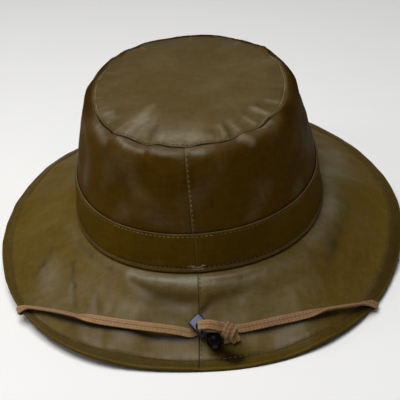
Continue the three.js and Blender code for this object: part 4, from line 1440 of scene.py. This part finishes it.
@dataclass
class CrownTip(Shell):
    """The tip panel with its puckered edge and topstitch."""

    around: int = 480
    rows: int = 66
    stitch_in: float = 1.9
    edge: float = 0.994
    pole: float = 0.012
    # Millimetres in a degree at the panel's edge.
    edge_scale: float = 1.35
    # Puckers near the seam: the angle, how far in they run, and their height.
    puckers: Rows = (
        (186, 0.9, 0.25), (193, 0.88, -0.25), (198, 0.86, 0.25), (206.5, 0.82, 0.55), (214.5, 0.82, -0.6),
        (223, 0.8, 0.5), (230, 0.8, 0.3), (237, 0.78, 0.45), (245.5, 0.82, -0.55), (252, 0.84, 0.45),
        (258, 0.86, 0.2), (264, 0.88, 0.35), (271, 0.9, -0.2), (277, 0.88, 0.25), (283, 0.86, -0.35),
        (288, 0.84, 0.45), (292, 0.84, -0.45), (296.5, 0.84, 0.5), (302, 0.82, -0.3), (307.5, 0.8, 0.35),
        (313, 0.76, -0.6), (319.5, 0.8, 0.65), (325.5, 0.8, -0.5), (332, 0.84, 0.4), (341, 0.88, -0.3),
        (350, 0.88, 0.3), (4, 0.88, -0.3), (20, 0.86, 0.35), (37, 0.88, -0.3), (52, 0.86, 0.4), (70, 0.88, -0.3),
        (88, 0.86, 0.35), (104, 0.88, -0.3), (122, 0.86, 0.4), (140, 0.88, -0.3), (158, 0.86, 0.35),
        (172, 0.88, -0.3),
    )
    folds: Strokes = Strokes(TIP_SCALE, (
        (222, 0.78, 229, 0.58, 6, 0.5), (244, 0.62, 246, 0.88, 3.5, -0.4), (302, 0.68, 302, 0.9, 4, 0.4),
        (310, 0.62, 311, 0.88, 3.5, -0.45), (212, 0.58, 216, 0.85, 4, -0.45), (60, 0.4, 120, 0.4, 9, -0.5),
        (180, 0.35, 200, 0.55, 8, -0.4), (0, 0.4, 340, 0.6, 8, -0.4),
    ))
    # Paler patches: painted sheen and highlights where the cloth faces the light, with rubbed wax.
    rubbed: Strokes = Strokes(TIP_SCALE, (
        (231, 0.93, 229, 0.74, 7.5, 0.75), (229, 0.74, 224, 0.56, 6.5, 0.5), (241, 0.9, 239, 0.74, 4.5, 0.45),
        (252, 0.9, 270, 0.88, 6.5, 0.75), (238, 0.72, 272, 0.76, 10, 0.28), (270, 0.91, 281, 0.93, 4, 0.5),
        (205, 0.93, 212, 0.89, 4, 0.5), (288, 0.82, 288.5, 0.93, 2.4, 0.45), (296.5, 0.8, 297, 0.93, 2.8, 0.45),
        (308, 0.84, 308.5, 0.93, 2.4, 0.35), (319, 0.8, 320, 0.93, 3.4, 0.65), (332, 0.86, 333, 0.94, 2.5, 0.3),
    ))
    # Painted shade in the dips between puckers and along parts of the edge.
    shaded: Strokes = Strokes(TIP_SCALE, (
        (345, 0.9, 370, 0.9, 6, 0.24), (148, 0.93, 166, 0.95, 6, 0.22), (207, 0.8, 218, 0.93, 2.6, 0.3),
        (245, 0.74, 246, 0.95, 2.4, 0.32), (283, 0.84, 283, 0.94, 1.8, 0.38), (292, 0.85, 292.5, 0.95, 1.8, 0.42),
        (302, 0.84, 302.5, 0.94, 2, 0.25), (313, 0.76, 314.5, 0.92, 2.4, 0.45), (325.5, 0.8, 328, 0.94, 2.2, 0.42),
    ))

    form = staticmethod(FORM.tip)
    step = -0.02

    def relief(self, angle: Array, out: Array) -> Array:
        """How far the tip stands off its plain form: unevenness, folds, and puckers that grow to the edge."""
        points = FORM.tip(angle, out)
        total = Unevenness(51, 36.0, 0.30).at(points) + Unevenness(52, 12.0, 0.07).at(points)
        total = total * fade(out, 0.0, 0.15) * fade(-out, -1.0, -0.95)
        total = total + self.folds.total(angle, out) * fade(-out, -1.0, -0.93)
        for at, start, high in self.puckers:
            grow = fade(out, start - 0.08, start + 0.06) * fade(-out, -1.0, -0.965)
            total = total + high * grow * bell(apart(angle, at) * self.edge_scale, 2.2)
        return total - 0.18 * bell((1 - out) * TIP_SCALE[1] - self.stitch_in, 0.6)

    def bent(self, angle: Array, out: Array) -> Array:
        """The tip's plain form, its edge moved out in plan by the seam's bends and up to the wall's edge."""
        angle, out = np.broadcast_arrays(angle, out)
        return bent_rim(FORM.tip(angle, out), angle, fade(out, 0.92, 1.0), 1.2 - 0.8 * near_side(angle))

    def skin(self) -> Skin:
        """The tip as one grid from the middle of its top, round its edge, to the middle underneath."""
        angle = np.arange(self.around) * 360.0 / self.around
        steps = (np.linspace(0.05, 0.76, 24), np.linspace(0.775, self.edge, self.rows - 25))
        out = np.concatenate([[self.pole], *steps])[:, None]
        swing = np.linspace(0, math.pi, 8)[1:-1, None]
        edge = self.bent(angle, self.edge + 0.006 * np.sin(swing))
        edge[..., 2] += np.cos(swing) - 1 + self.relief(angle, self.edge) * (0.5 + 0.5 * np.cos(swing))
        under = self.bent(angle, np.array([self.edge, 0.9, 0.7, 0.45, 0.2, self.pole])[:, None])
        under[..., 2] -= FORM.cloth
        points = np.concatenate([self.face(angle, out), edge, under])
        return Skin(points, plan_uv(points, False), False, self.marks(angle, out, points.shape[:2]))

    def marks(self, angle: Array, out: Array, shape: tuple[int, int]) -> dict[str, Array]:
        """Painted highlights and rubbing on the puckers and patches, painted shade in the dips, on the edge and far
        side, and wax.
        """
        near, inward = near_side(angle), (1 - out) * TIP_SCALE[1]
        worn = self.rubbed.total(angle, out) + 0.05 * Unevenness(61, 28.0, 1.0).at(FORM.tip(angle, out))
        # Painted highlights on the lit flank of each raised pucker.
        for at, start, high in self.puckers:
            crest = bell(apart(angle, at + 0.6) * self.edge_scale, 1.5)
            worn = worn + max(high, 0) * 0.75 * fade(out, start - 0.06, start + 0.08) * crest
        # Darker: the stitch groove, painted shade where the seam lies open, the shade strokes, and painted shade
        # toward the far side.
        deep = 0.25 * bell(inward - self.stitch_in, 0.6) + 0.75 * near * bell(inward, 0.6)
        deep = deep + self.shaded.total(angle, out) + 0.22 * fade(out * np.sin(np.radians(angle)), 0.2, 0.95)
        marks = spread_marks(shape, 0, 1.5, worn=worn, deep=deep, wax=np.ones_like(out))
        # Painted shade on the rounded edge where the seam lies open.
        marks["deep"][len(out) : len(out) + 6] = 0.9 * near
        return marks

    def make(self, finishes: Finishes) -> None:
        """Makes the tip and its topstitch, which is pale at the sides and dark at the front and back."""
        self.skin().piece("crown_tip_canvas", finishes["canvas"], Slot.CANVAS, "crown_tip")
        for side, start, end, thread, bold in (
            ("left", 150, 206, "thread", 1.3), ("back", 206.5, 309, "dark_thread", 1.0),
            ("right", 309.5, 386, "thread", 1.3), ("front", 26.5, 149.5, "dark_thread", 1.0),
        ):
            angle = np.linspace(start, end, 600)
            out = np.full(len(angle), 1 - self.stitch_in / TIP_SCALE[1])
            self.sew("tip_stitches_" + side, angle, out, finishes[thread], pitch=3.0, length=2.3 * bold,
                     radius=0.25 * bold)


@dataclass
class Band(Shell):
    """The band round the foot of the wall, with a rolled lower edge and a stitched upper edge."""

    around: int = 620
    lap: float = 267.6
    # Millimetres in a degree at the lap.
    lap_scale: float = 1.85
    top: float = 28.4
    top_line: float = 27.1
    foot_line: float = 4.25
    bar_stitches: int = 22
    bar_seed: int = 7

    form = staticmethod(FORM.crown)
    step = 1.0

    def relief(self, angle: Array, up: Array) -> Array:
        """How far the band stands off the wall's form: its cloth, roll, grooves, unevenness and upright lap."""
        roll = 0.65 * np.sqrt(np.clip(1 - ((up - 2.15) / 1.75) ** 2, 0, 1))
        groove = -0.3 * bell(up - 4.2, 0.5) - 0.12 * bell(up - self.top_line, 0.5)
        soft = Unevenness(71, 24.0, 0.16).at(FORM.crown(angle, up)) * fade(up, 5.0, 9.0)
        away = apart(angle, self.lap) * self.lap_scale
        lap = -0.22 * bell(away, 0.35) + 0.3 * fade(away, -0.4, 0.4) * fade(-away, -8.0, -6.0)
        return FORM.clear + FORM.band_cloth + (roll + groove + soft + lap)

    def skin(self) -> Skin:
        """The band as one closed grid: outer face, rounded top edge, inner face and lower edge."""
        angle = angles_round(self.around, self.lap, 1.6, 0.13)
        low = 2 * FORM.clear
        steps = (np.linspace(low, 5.0, 20), np.linspace(5.8, 25.6, 16), np.linspace(26, self.top, 8))
        up = np.concatenate(steps)[:, None]
        swing = np.linspace(0, math.pi, 7)[1:-1, None]
        stand = FORM.clear + FORM.band_cloth * (0.5 + 0.5 * np.cos(swing))
        edge = self.lifted(angle, self.top + 0.5 * np.sin(swing), stand)
        inner = self.lifted(angle, np.linspace(self.top, low, 6)[:, None], FORM.clear)
        points = np.concatenate([self.face(angle, up), edge, inner])
        round_lap = apart(angle, self.lap)
        away = round_lap * self.lap_scale
        # Paler: painted highlights along the top edge and on the roll at the foot, and the lap's edge.
        worn = 0.2 * bell(up - self.top, 0.3) + 0.16 * bell(up - 2.4, 1.1) + 0.15 * bell(away - 0.8, 0.5)
        # Darker: the foot's stitch line, painted shadow under the roll where it meets the brim, the lap, and painted
        # shade right of the lap.
        deep = 0.55 * bell(up - self.foot_line, 0.45) + 0.6 * bell(up - low, 0.6) + 0.5 * bell(away, 0.3)
        deep = deep + 0.24 * bell(round_lap - 18.0, 15.0) * fade(away, 0.0, 0.8)
        marks = spread_marks(points.shape[:2], 0, 1.0, worn=worn, deep=deep, wax=0.25 * bell(up - 2.4, 1.6))
        # Painted highlight on the rounded top edge.
        marks["worn"][len(up) + 2 : len(up) + 4] = 0.9
        return Skin(points, wall_uv(points), True, marks)

    def make(self, finishes: Finishes) -> None:
        """Makes the band, its rows of stitches and the knotted bar of thread at its back."""
        self.skin().piece("band_canvas", finishes["band_canvas"], Slot.CANVAS, "hat_band")
        for part, start, end, up, thread in (
            ("top", -36, 8, self.top_line, "thread"), ("far", 8, 323, self.top_line, "dark_thread"),
            ("foot", 0.6, 359.4, self.foot_line, "dark_thread"),
        ):
            angle = np.linspace(self.lap + start, self.lap + end, 2400)
            self.sew(f"band_{part}_stitches", angle, np.full(len(angle), up), finishes[thread], pitch=3.0, length=2.2,
                     radius=0.22)
        rng = np.random.default_rng(self.bar_seed)
        angle = self.lap + rng.uniform(-2.6, 3.2, self.bar_stitches)
        up = rng.uniform(3.4, 6.2, self.bar_stitches)
        normal = self.normals(angle, up)
        around = unit(FORM.crown(angle + 0.4, up) - FORM.crown(angle - 0.4, up))
        lean = rng.uniform(-0.7, 0.7, self.bar_stitches)[:, None]
        way = around * np.cos(lean) + np.cross(normal, around) * np.sin(lean)
        half = rng.uniform(0.8, 1.7, self.bar_stitches)
        bar = StitchRow("band_bar_stitches", length=2.8, radius=0.25, lift=0.22)
        bar.capsules(self.face(angle, up), way, normal, half, finishes["thread"])


# The chin cord and its lock


@dataclass(frozen=True)
class LockSeat:
    """The place on the brim where the lock lies: its middle, and its slope down to the back."""

    place: Point = (-2.5, -129.1, 13.7)
    slope: float = 42.0

    def points(self, rows: Array) -> Array:
        """Points of the hat from points measured at the seat."""
        return self.ways(rows) + np.array(self.place)

    def ways(self, rows: Array) -> Array:
        """Directions of the hat from directions at the seat: turned by the slope about X."""
        cosine, sine = math.cos(math.radians(self.slope)), math.sin(math.radians(self.slope))
        rows = np.asarray(rows, float)
        return np.stack([
            rows[..., 0], rows[..., 1] * cosine - rows[..., 2] * sine, rows[..., 1] * sine + rows[..., 2] * cosine,
        ], -1)


SEAT = LockSeat()
# A stretch of a cord's route: the way that its flat side faces, and its places.
Stretch = tuple[Facing | SeatFacing, *tuple[Point, ...]]


@dataclass
class ChinCord:
    """One strand of the flat braid, from where it is sewn in under the brim to the knot."""

    name: str
    node: str
    route: tuple[Stretch, ...]
    at_lock: tuple[Stretch, ...]
    # How much paler the whole strand is drawn: painted light on the left strand.
    rubbed: float = 0.0
    width: float = 5.7
    thick: float = 1.4
    step: float = 0.3
    section: int = 28
    into_knot: float = 1.6

    def rows(self) -> tuple[Array, Array]:
        """The route's places and facings in the hat's axes."""
        places, faces = (np.array(part, float) for part in zip(*spread_route(self.route)))
        seat, seat_faces = (np.array(part, float) for part in zip(*spread_route(self.at_lock)))
        return np.concatenate([places, SEAT.points(seat)]), np.concatenate([faces, SEAT.ways(seat_faces)])

    def middle_line(self) -> tuple[Array, Array]:
        """The middle line and facings, evenly spaced: a centripetal spline through the rows.

        Returns:
            The points and the facing at each, both spaced by step.
        """
        rows, faces = self.rows()
        ends = np.concatenate([[2 * rows[0] - rows[1]], rows, [2 * rows[-1] - rows[-2]]])
        before, start, end, after = ends[:-3], ends[1:-2], ends[2:-1], ends[3:]
        gap0, gap1, gap2 = (np.sqrt(np.linalg.norm(b - a, axis=1))[:, None]
                            for a, b in ((before, start), (start, end), (end, after)))
        slope1 = ((start - before) / gap0 - (end - before) / (gap0 + gap1) + (end - start) / gap1) * gap1
        slope2 = ((end - start) / gap1 - (after - start) / (gap1 + gap2) + (after - end) / gap2) * gap1
        t = np.linspace(0, 1, 40, endpoint=False)[None, :, None]
        line = (
            start[:, None] + slope1[:, None] * t
            + (-3 * start + 3 * end - 2 * slope1 - slope2)[:, None] * t**2
            + (2 * start - 2 * end + slope1 + slope2)[:, None] * t**3
        ).reshape(-1, 3)
        facing = (faces[:-1, None] + (faces[1:] - faces[:-1])[:, None] * t).reshape(-1, 3)
        tail = unit(rows[-1] - line[-1])
        line = np.concatenate([line, [rows[-1], rows[-1] + tail * self.into_knot]])
        facing = np.concatenate([facing, [faces[-1], faces[-1]]])
        at = np.linspace(0, way_along(line)[-1], int(way_along(line)[-1] / self.step))
        return tuple(read_line(way_along(line), part, at) for part in (line, facing))

    def length(self) -> float:
        """The strand's length in metres, along its middle line."""
        return float(way_along(self.middle_line()[0])[-1]) * MM

    def path(self) -> list[list[float]]:
        """Points of the middle line in metres."""
        line = self.middle_line()[0] * MM
        return [*line[::4].tolist(), line[-1].tolist()]

    def skin(self) -> Skin:
        """The braid: a flat rounded section carried along the middle line, facing as the route says."""
        line, facing = self.middle_line()
        along = unit(np.gradient(line, axis=0))
        outward = unit(facing - along * np.einsum("ij,ij->i", facing, along)[:, None])
        skin = braid_skin(line, np.cross(along, outward), outward, self.width, self.thick, self.section)
        skin.marks["worn"] = skin.marks["worn"] + self.rubbed
        return skin

    def make(self, finishes: Finishes) -> Object:
        """Makes the strand."""
        return self.skin().piece(self.name, finishes["cord"], Slot.CORD, self.node)


def spread_route(route: tuple[Stretch, ...]) -> list[tuple[Point, Point]]:
    """Each place of a route with the way that the cord faces there."""
    return [(place, facing.value) for facing, *places in route for place in places]


def braid_skin(line: Array, sideways: Array, outward: Array, width: float, thick: float, section: int,
               closed: bool = False) -> Skin:
    """A flat braid along a line.

    Its section is a superellipse. The threads' height is the sine of the place across, raised to make four
    columns, times bumps along the way that slant up in one column and down in the next.

    Args:
        line: Its middle line.
        sideways: Unit directions across its flat side.
        outward: Unit directions out of its flat side.
        width: Its width.
        thick: Its thickness.
        section: Points round its section.
        closed: Whether the line closes on itself.

    Returns:
        The braid's skin.
    """
    turn = np.arange(section) * TURN / section
    cosine, sine = np.cos(turn), np.sin(turn)
    side = np.sign(cosine) * np.abs(cosine) ** 0.75 * width / 2
    rise = np.sign(sine) * np.abs(sine) ** 0.45 * thick / 2
    way = way_along(line)
    column = np.floor((side + width / 2) / (width / 4) - 1e-6)
    in_column = (side + width / 2) / (width / 4) - column
    ribs = np.sin(np.pi * np.clip(in_column, 0, 1)) ** 0.6
    slant = np.where(column % 2 == 0, 1.0, -1.0) * (in_column - 0.5) * 1.3
    bumps = np.abs(np.sin(np.pi * (way[:, None] + slant) / 1.25)) ** 0.7
    height = 0.17 * ribs * (0.6 + 0.4 * bumps) - 0.12
    reach = side * (1 - 0.02 * (1 - bumps))
    lift = rise + np.sign(sine) * height * np.abs(sine) ** 0.5
    points = line[:, None] + sideways[:, None] * reach[..., None] + outward[:, None] * lift[..., None]
    v = np.concatenate([np.where(sine >= 0, side, side + 2 * width), [side[0]]])
    u = np.concatenate([way, [way[-1] + np.linalg.norm(line[0] - line[-1])]]) if closed else way
    # Painted shade between the threads, and painted highlights on the highest crests.
    deep = 0.65 * np.clip(1 - ribs * (0.35 + 0.75 * bumps), 0, 1)
    return Skin(points, grid_pairs(v, u)[..., ::-1], closed,
                {"deep": deep, "worn": np.clip((bumps * ribs - 0.8) * 1.2, 0, 1)})


def left_strand() -> ChinCord:
    """The left strand with its route, as the solid has it."""
    face, seat = Facing, SeatFacing
    return ChinCord("cord_left_braid", "chin_cord_left", (
        (face.UNDER_LEFT, (-86.2, -8, 35.8), (-90.2, -17.4, 32.6), (-104.9, -50, 21.1), (-118.4, -80, 10.2),
         (-121.8, -86.6, 7.6), (-123.8, -88.6, 6.8)),
        (face.LEFT_EDGE, (-125.2, -90, 8.2)),
        (face.LEFT_BRIM, (-124.9, -90.7, 10.2), (-122.8, -91.2, 11.5)),
        (face.TILTED, (-115.8, -93.8, 14.2), (-104.5, -101, 17.2), (-93.6, -107.6, 19.2), (-83.1, -113.8, 20.4)),
        (face.LEFT_BRIM, (-73, -118.9, 21.1)),
        (face.BACK, (-63.2, -122.8, 21.2), (-50.4, -126.9, 20.9), (-37.8, -129.9, 20.1), (-25.4, -131.2, 18),
         (-16.3, -131.6, 15.7)),
    ), (
        (seat.OFF, (-7.6, -2, 1.7), (-3.4, -0.8, 1.5)),
        (seat.LEFT, (-1.3, -0.2, 1.8), (-0.95, 0, 3), (-1.3, 0, 11.8), (-1.9, 0.4, 13.9)),
        (seat.OFF, (1.8, 0.7, 15.3), (6, 0.4, 14.7), (9.8, -0.4, 12.5)),
        (seat.RIGHT, (11.3, -0.8, 10.3)),
    ), rubbed=0.35)


def right_strand() -> ChinCord:
    """The right strand with its route, as the solid has it."""
    face, seat = Facing, SeatFacing
    return ChinCord("cord_right_braid", "chin_cord_right", (
        (face.UNDER_RIGHT, (86.9, -10, 35.8), (88.8, -18.4, 32.8), (98, -58, 18.2), (105.4, -94, 4.3)),
        (face.DOWN, (106.7, -101.2, 1.5), (109.3, -104.7, 1.1)),
        (face.RIGHT_EDGE, (111, -106.3, 2.5)),
        (face.RIGHT_BRIM, (110.7, -106.8, 4.5), (108.4, -107.4, 6.3)),
        (face.TILTED, (99.9, -110.7, 9.6), (90.1, -115.2, 12.6), (76, -120.6, 15.4)),
        (face.RIGHT_BRIM, (64.8, -124.1, 15.4)),
        (face.BACK, (53.2, -126.2, 15), (43.6, -127.8, 14.8), (34, -129.3, 14.3)),
    ), (
        (seat.OFF, (23.7, -1.4, 1.2), (8, -0.6, 1.1), (3.3, -0.1, 1.1)),
        (seat.RIGHT, (1.35, 0, 1.6), (0.95, 0, 3), (0.95, 0, 11.2), (1.6, -0.3, 12.3)),
        (seat.ONTO, (3.6, -1, 12.7), (6.2, -1.2, 12.1), (7.9, -0.8, 10.6)),
        (seat.LEFT, (8.6, -0.4, 9)),
    ))


@dataclass
class CordKnot:
    """The overhand knot in both strands, measured at the lock's seat: wraps round a core, and two tails."""

    centre: Point = (15.1, -2.2, 6.0)
    half: Point = (5.0, 5.0, 3.2)
    wrap_width: float = 4.6
    tail_width: float = 5.7
    thick: float = 1.4
    # Wraps: place along the knot's X and Y, lean of the stripe from upright in degrees, how far it stands out.
    wraps: Rows = ((-2.9, 0.2, 28, 0.1), (0.0, -0.4, 30, 0.4), (2.9, -1.8, 30, 0.0), (0.8, 0.6, -60, -0.4))
    tails: tuple[tuple[Point, Point], ...] = (
        ((15.2, -4, 5.2), (15.7, -9.9, 2.6)), ((18, -3.4, 5.8), (20.8, -9.8, 3.3)),
    )

    def wrap(self, right: float, up: float, lean: float, stand: float) -> Skin:
        """One turn of braid: a closed line round the core in a leaning plane, its flat side facing out.

        Args:
            right: The turn's place along X.
            up: Its place along Y.
            lean: How far it leans from upright, in degrees.
            stand: How far it stands out.

        Returns:
            The turn's skin.
        """
        turn = np.linspace(0, TURN, 90, endpoint=False)[:, None]
        upright = np.array([0, 0, 1.0])
        stripe = np.array([math.sin(math.radians(lean)), math.cos(math.radians(lean)), 0.0])
        share = math.sqrt(max(1 - (right / (self.half[0] + 1.4)) ** 2, 0.25))
        long, deep = (self.half[1] - 0.5 + stand) * share, (self.half[2] - 0.3 + stand) * share
        line = stripe * (np.cos(turn) * long) + upright * (np.sin(turn) * deep)
        line = line + np.array([right, up, 0.0]) + np.array(self.centre)
        along = unit(np.roll(line, -1, 0) - np.roll(line, 1, 0))
        sideways = np.broadcast_to(unit(np.cross(stripe, upright)), line.shape)
        outward = unit(np.cross(along, sideways))
        facing_in = np.einsum("ij,ij->i", outward, line - line.mean(0))[:, None] < 0
        outward = np.where(facing_in, -outward, outward)
        return self.braid(line, sideways, outward, self.wrap_width, 20, True)

    def tail(self, start: Point, end: Point) -> Skin:
        """A flat tail from the knot to its cut end, hanging in a slight curve."""
        t = np.linspace(0, 1, 30)[:, None]
        line = np.array(start) + (np.array(end) - np.array(start)) * t + np.array([0, 0, 0.9]) * (t * (1 - t))
        along = unit(np.gradient(line, axis=0))
        sideways = unit(np.cross(np.array([[0, 0, 1.0]]), along))
        return self.braid(line, sideways, np.cross(along, sideways), self.tail_width, 28)

    def braid(self, line: Array, sideways: Array, outward: Array, width: float, *section: int) -> Skin:
        """A braid from a line and directions measured at the seat."""
        return braid_skin(SEAT.points(line), SEAT.ways(sideways), SEAT.ways(outward), width, self.thick, *section)

    def core(self) -> Skin:
        """The core: an ellipsoid on rings from pole to pole, a little smaller than the knot."""
        polar = np.linspace(0.12, math.pi - 0.12, 16)[:, None]
        turn = (np.arange(28) * TURN / 28)[None, :]
        flat = grid_pairs(turn[0], polar[:, 0])[..., 1]
        ball = np.stack([np.sin(flat) * np.cos(turn), np.sin(flat) * np.sin(turn), np.cos(flat)], -1)
        points = SEAT.points(ball * (np.array(self.half) * 0.86) + np.array(self.centre))
        # The core is painted darker: painted shade inside the wraps.
        return Skin(points, grid_pairs(np.linspace(0, 24, 29), np.linspace(0, 12, 16)), False,
                    {"deep": np.full(points.shape[:2], 0.35)})

    def make(self, finishes: Finishes) -> Object:
        """Makes the knot as one piece of several closed skins."""
        skins = [self.core(), *(self.wrap(*row) for row in self.wraps), *(self.tail(*row) for row in self.tails)]
        parts = [new_object("knot_part", skin.mesh("knot_part"), finishes["cord"]) for skin in skins]
        with bpy.context.temp_override(active_object=parts[0], selected_editable_objects=parts, object=parts[0]):
            bpy.ops.object.join()
        parts[0].name = parts[0].data.name = "cord_knot_braid"
        return dress(parts[0], Slot.CORD, "chin_cord_knot")


@dataclass
class CordLock:
    """The barrel lock: a rounded body with a cord hole and a ball button on a stem at one end."""

    axis_turn: float = -50.0
    lift: float = 2.6
    width: float = 9.6
    height: float = 8.6
    back: float = 7.9
    front: float = 5.2
    corner: float = 2.6
    bevel: float = 0.8
    hole: float = 3.5
    hole_edge: float = 0.3
    stem_radius: float = 2.0
    stem_from: float = 3.6
    ball_radius: float = 5.0
    ball_radius: float = 5.0
    ball_at: float = 10.9
    # The way that the painted dim highlights on the ball and collar face.
    spot: Point = (0.05, -0.93, -0.36)

    def placed(self, points: Array) -> Array:
        """Points of the hat from points in the lock's own axes: turned about Z and set on the seat."""
        turn = math.radians(self.axis_turn)
        x = points[..., 0] * math.cos(turn) - points[..., 1] * math.sin(turn)
        y = points[..., 0] * math.sin(turn) + points[..., 1] * math.cos(turn)
        z = points[..., 2] + self.lift + self.height / 2
        return SEAT.points(np.stack([x, y, z], -1))

    def top_at(self, x: Array, y: Array) -> Array:
        """The height of the body's upper face: its rounded section, shrunk near both ends by the bevel."""
        into = np.clip(np.maximum(x - (self.front - self.bevel), -x - (self.back - self.bevel)), 0, self.bevel)
        shrink = self.bevel - np.sqrt(np.maximum(self.bevel**2 - into**2, 0))
        radius = self.corner - shrink
        beyond = np.clip(np.abs(y) - (self.width / 2 - shrink - radius), 0, radius)
        return self.height / 2 - shrink - radius + np.sqrt(np.maximum(radius**2 - beyond**2, 0))

    def rim(self, turn: Array) -> Array:
        """The body's outline in plan: rays cut off at its ends and sides, its corners rounded by a radius of 1."""
        ways = np.stack([np.cos(turn), np.sin(turn)], -1)
        limits = np.stack([np.where(ways[:, 0] > 0, self.front, self.back), np.full(len(turn), self.width / 2)], -1)
        rim = ways * (limits / np.maximum(np.abs(ways), 1e-9)).min(1)[:, None]
        corner = limits - 1.0
        beyond = np.maximum(np.abs(rim) - corner, 0)
        excess = np.maximum(np.linalg.norm(beyond, axis=1), 1e-9)
        scale = np.where((beyond > 0).all(1), 1.0 / excess, 1.0)
        return np.sign(rim) * (np.minimum(np.abs(rim), corner) + beyond * scale[:, None])

    def body(self) -> Skin:
        """The body as a closed ring round the cord hole: hole wall, upper face, sides and lower face."""
        turn = np.linspace(0, TURN, 160, endpoint=False)
        ways, rim = np.stack([np.cos(turn), np.sin(turn)], -1), self.rim(turn)
        swing = np.linspace(0, math.pi / 2, 6)
        fillet = self.hole + self.hole_edge * (1 - np.cos(swing))
        inner = ways * (self.hole + self.hole_edge)
        share = 1 - (1 - np.linspace(0, 1, 18)[1:]) ** 1.8
        plan = np.concatenate([ways * fillet[:, None, None], inner + (rim - inner) * share[:, None, None]])
        drop = np.concatenate([self.hole_edge * (1 - np.sin(swing)), np.zeros(len(share))])[:, None]
        height = self.top_at(plan[..., 0], plan[..., 1]) - drop
        upper = np.concatenate([plan, height[..., None]], -1)
        side, bore = (row * np.stack([np.ones(len(levels)), np.ones(len(levels)), levels], -1)[:, None]
                      for row, levels in ((upper[-1], np.array([0.6, 0.2, -0.2, -0.6])),
                                          (upper[0], np.array([-0.9, -0.45, 0.0, 0.45, 0.9]))))
        points = np.concatenate([upper, side, upper[::-1] * np.array([1, 1, -1.0]), bore])
        worn = np.zeros(points.shape[:2])
        first, last = len(swing), len(upper)
        x, y = points[first:last, :, 0], points[first:last, :, 1]
        # Painted reflection: the upper face, but for its edges and its part toward the ball, is painted pale as if it
        # mirrored the light.
        worn[first:last] = fade(-np.abs(y), -4.1, -3.6) * fade(x, -7.5, -6.9) * (1 - fade(x, -0.5, 2.5))
        return Skin(self.placed(points), wall_uv(points), True, {"worn": worn})

    def lathe(self, radius: Array, along: Array, steps: int = 40) -> Skin:
        """A form turned about the lock's axis, with a painted dim highlight on the side of the ball that faces the
        back.

        Args:
            radius: Its radii.
            along: Their places along the axis.
            steps: Points round it.

        Returns:
            The form's skin.
        """
        turn = np.linspace(0, TURN, steps, endpoint=False)
        points = np.stack(np.broadcast_arrays(
            along[:, None], radius[:, None] * np.cos(turn), radius[:, None] * np.sin(turn)), -1)
        places, middle = self.placed(points), self.placed(np.array([self.ball_at, 0.0, 0.0]))
        toward = unit(places - middle) @ np.array(self.spot)
        return Skin(places, grid_pairs(np.linspace(0, 20, steps + 1), along), False,
                    {"worn": 0.8 * fade(toward, 0.90, 0.985)})

    def button(self) -> Skin:
        """The button: a stem, a small neck fillet and a ball."""
        start = math.asin(self.stem_radius / self.ball_radius)
        swing = np.linspace(start, math.pi - 0.03, 26)
        radius = np.concatenate([[self.stem_radius * 0.9, self.stem_radius, self.stem_radius],
                                 self.ball_radius * np.sin(swing)])
        along = np.concatenate([[self.stem_from, self.stem_from + 0.2, self.ball_at - 5.4],
                                self.ball_at - self.ball_radius * np.cos(swing)])
        return self.lathe(radius, along)

    def collar(self) -> Skin:
        """The collar round the stem on the body's end: a low rounded ring."""
        swing = np.linspace(0, math.pi / 2, 6)
        radius = np.concatenate([[3.1], 2.7 + 0.4 * np.cos(swing), [2.25, 2.1, 2.1]])
        along = np.concatenate([[self.front - 0.6], self.front + 0.35 * np.sin(swing),
                                [self.front + 0.3, self.front, self.front - 0.6]])
        return self.lathe(radius, along)

    def make(self, finishes: Finishes) -> tuple[Object, ...]:
        """Makes the body, the button and the collar."""
        return (
            self.body().piece("lock_body_shell", finishes["plastic"], Slot.PLASTIC, "cord_lock_body"),
            self.button().piece("lock_button_ball", finishes["satin_plastic"], Slot.PLASTIC, "cord_lock_button"),
            self.collar().piece("lock_collar", finishes["plastic"], Slot.PLASTIC),
        )


def declare_cords(strands: tuple[ChinCord, ...], pieces: list[Object]) -> None:
    """Logs each strand's length along its middle line.

    Args:
        strands: The strands.
        pieces: Their pieces, in the same order.
    """
    for strand, piece in zip(strands, pieces):
        length = strand.length()
        strand.path()
        log.info("%s is %.3f m long", strand.name, length)


def main() -> None:
    """Builds the camera, the cord and its lock, the hat's shells and the studio, in order."""
    logging.basicConfig(level=logging.INFO, format="%(name)s: %(message)s")
    finishes = Finishes()
    StudioCamera().make()
    strands = (left_strand(), right_strand())
    cords = [strand.make(finishes) for strand in strands]
    knot = CordKnot().make(finishes)
    lock = CordLock().make(finishes)
    declare_cords(strands, cords)
    CrownWall().make(finishes)
    CrownTip().make(finishes)
    Band().make(finishes)
    Brim().make(finishes)
    Studio().make(finishes)


if __name__ == "__main__":
    main()
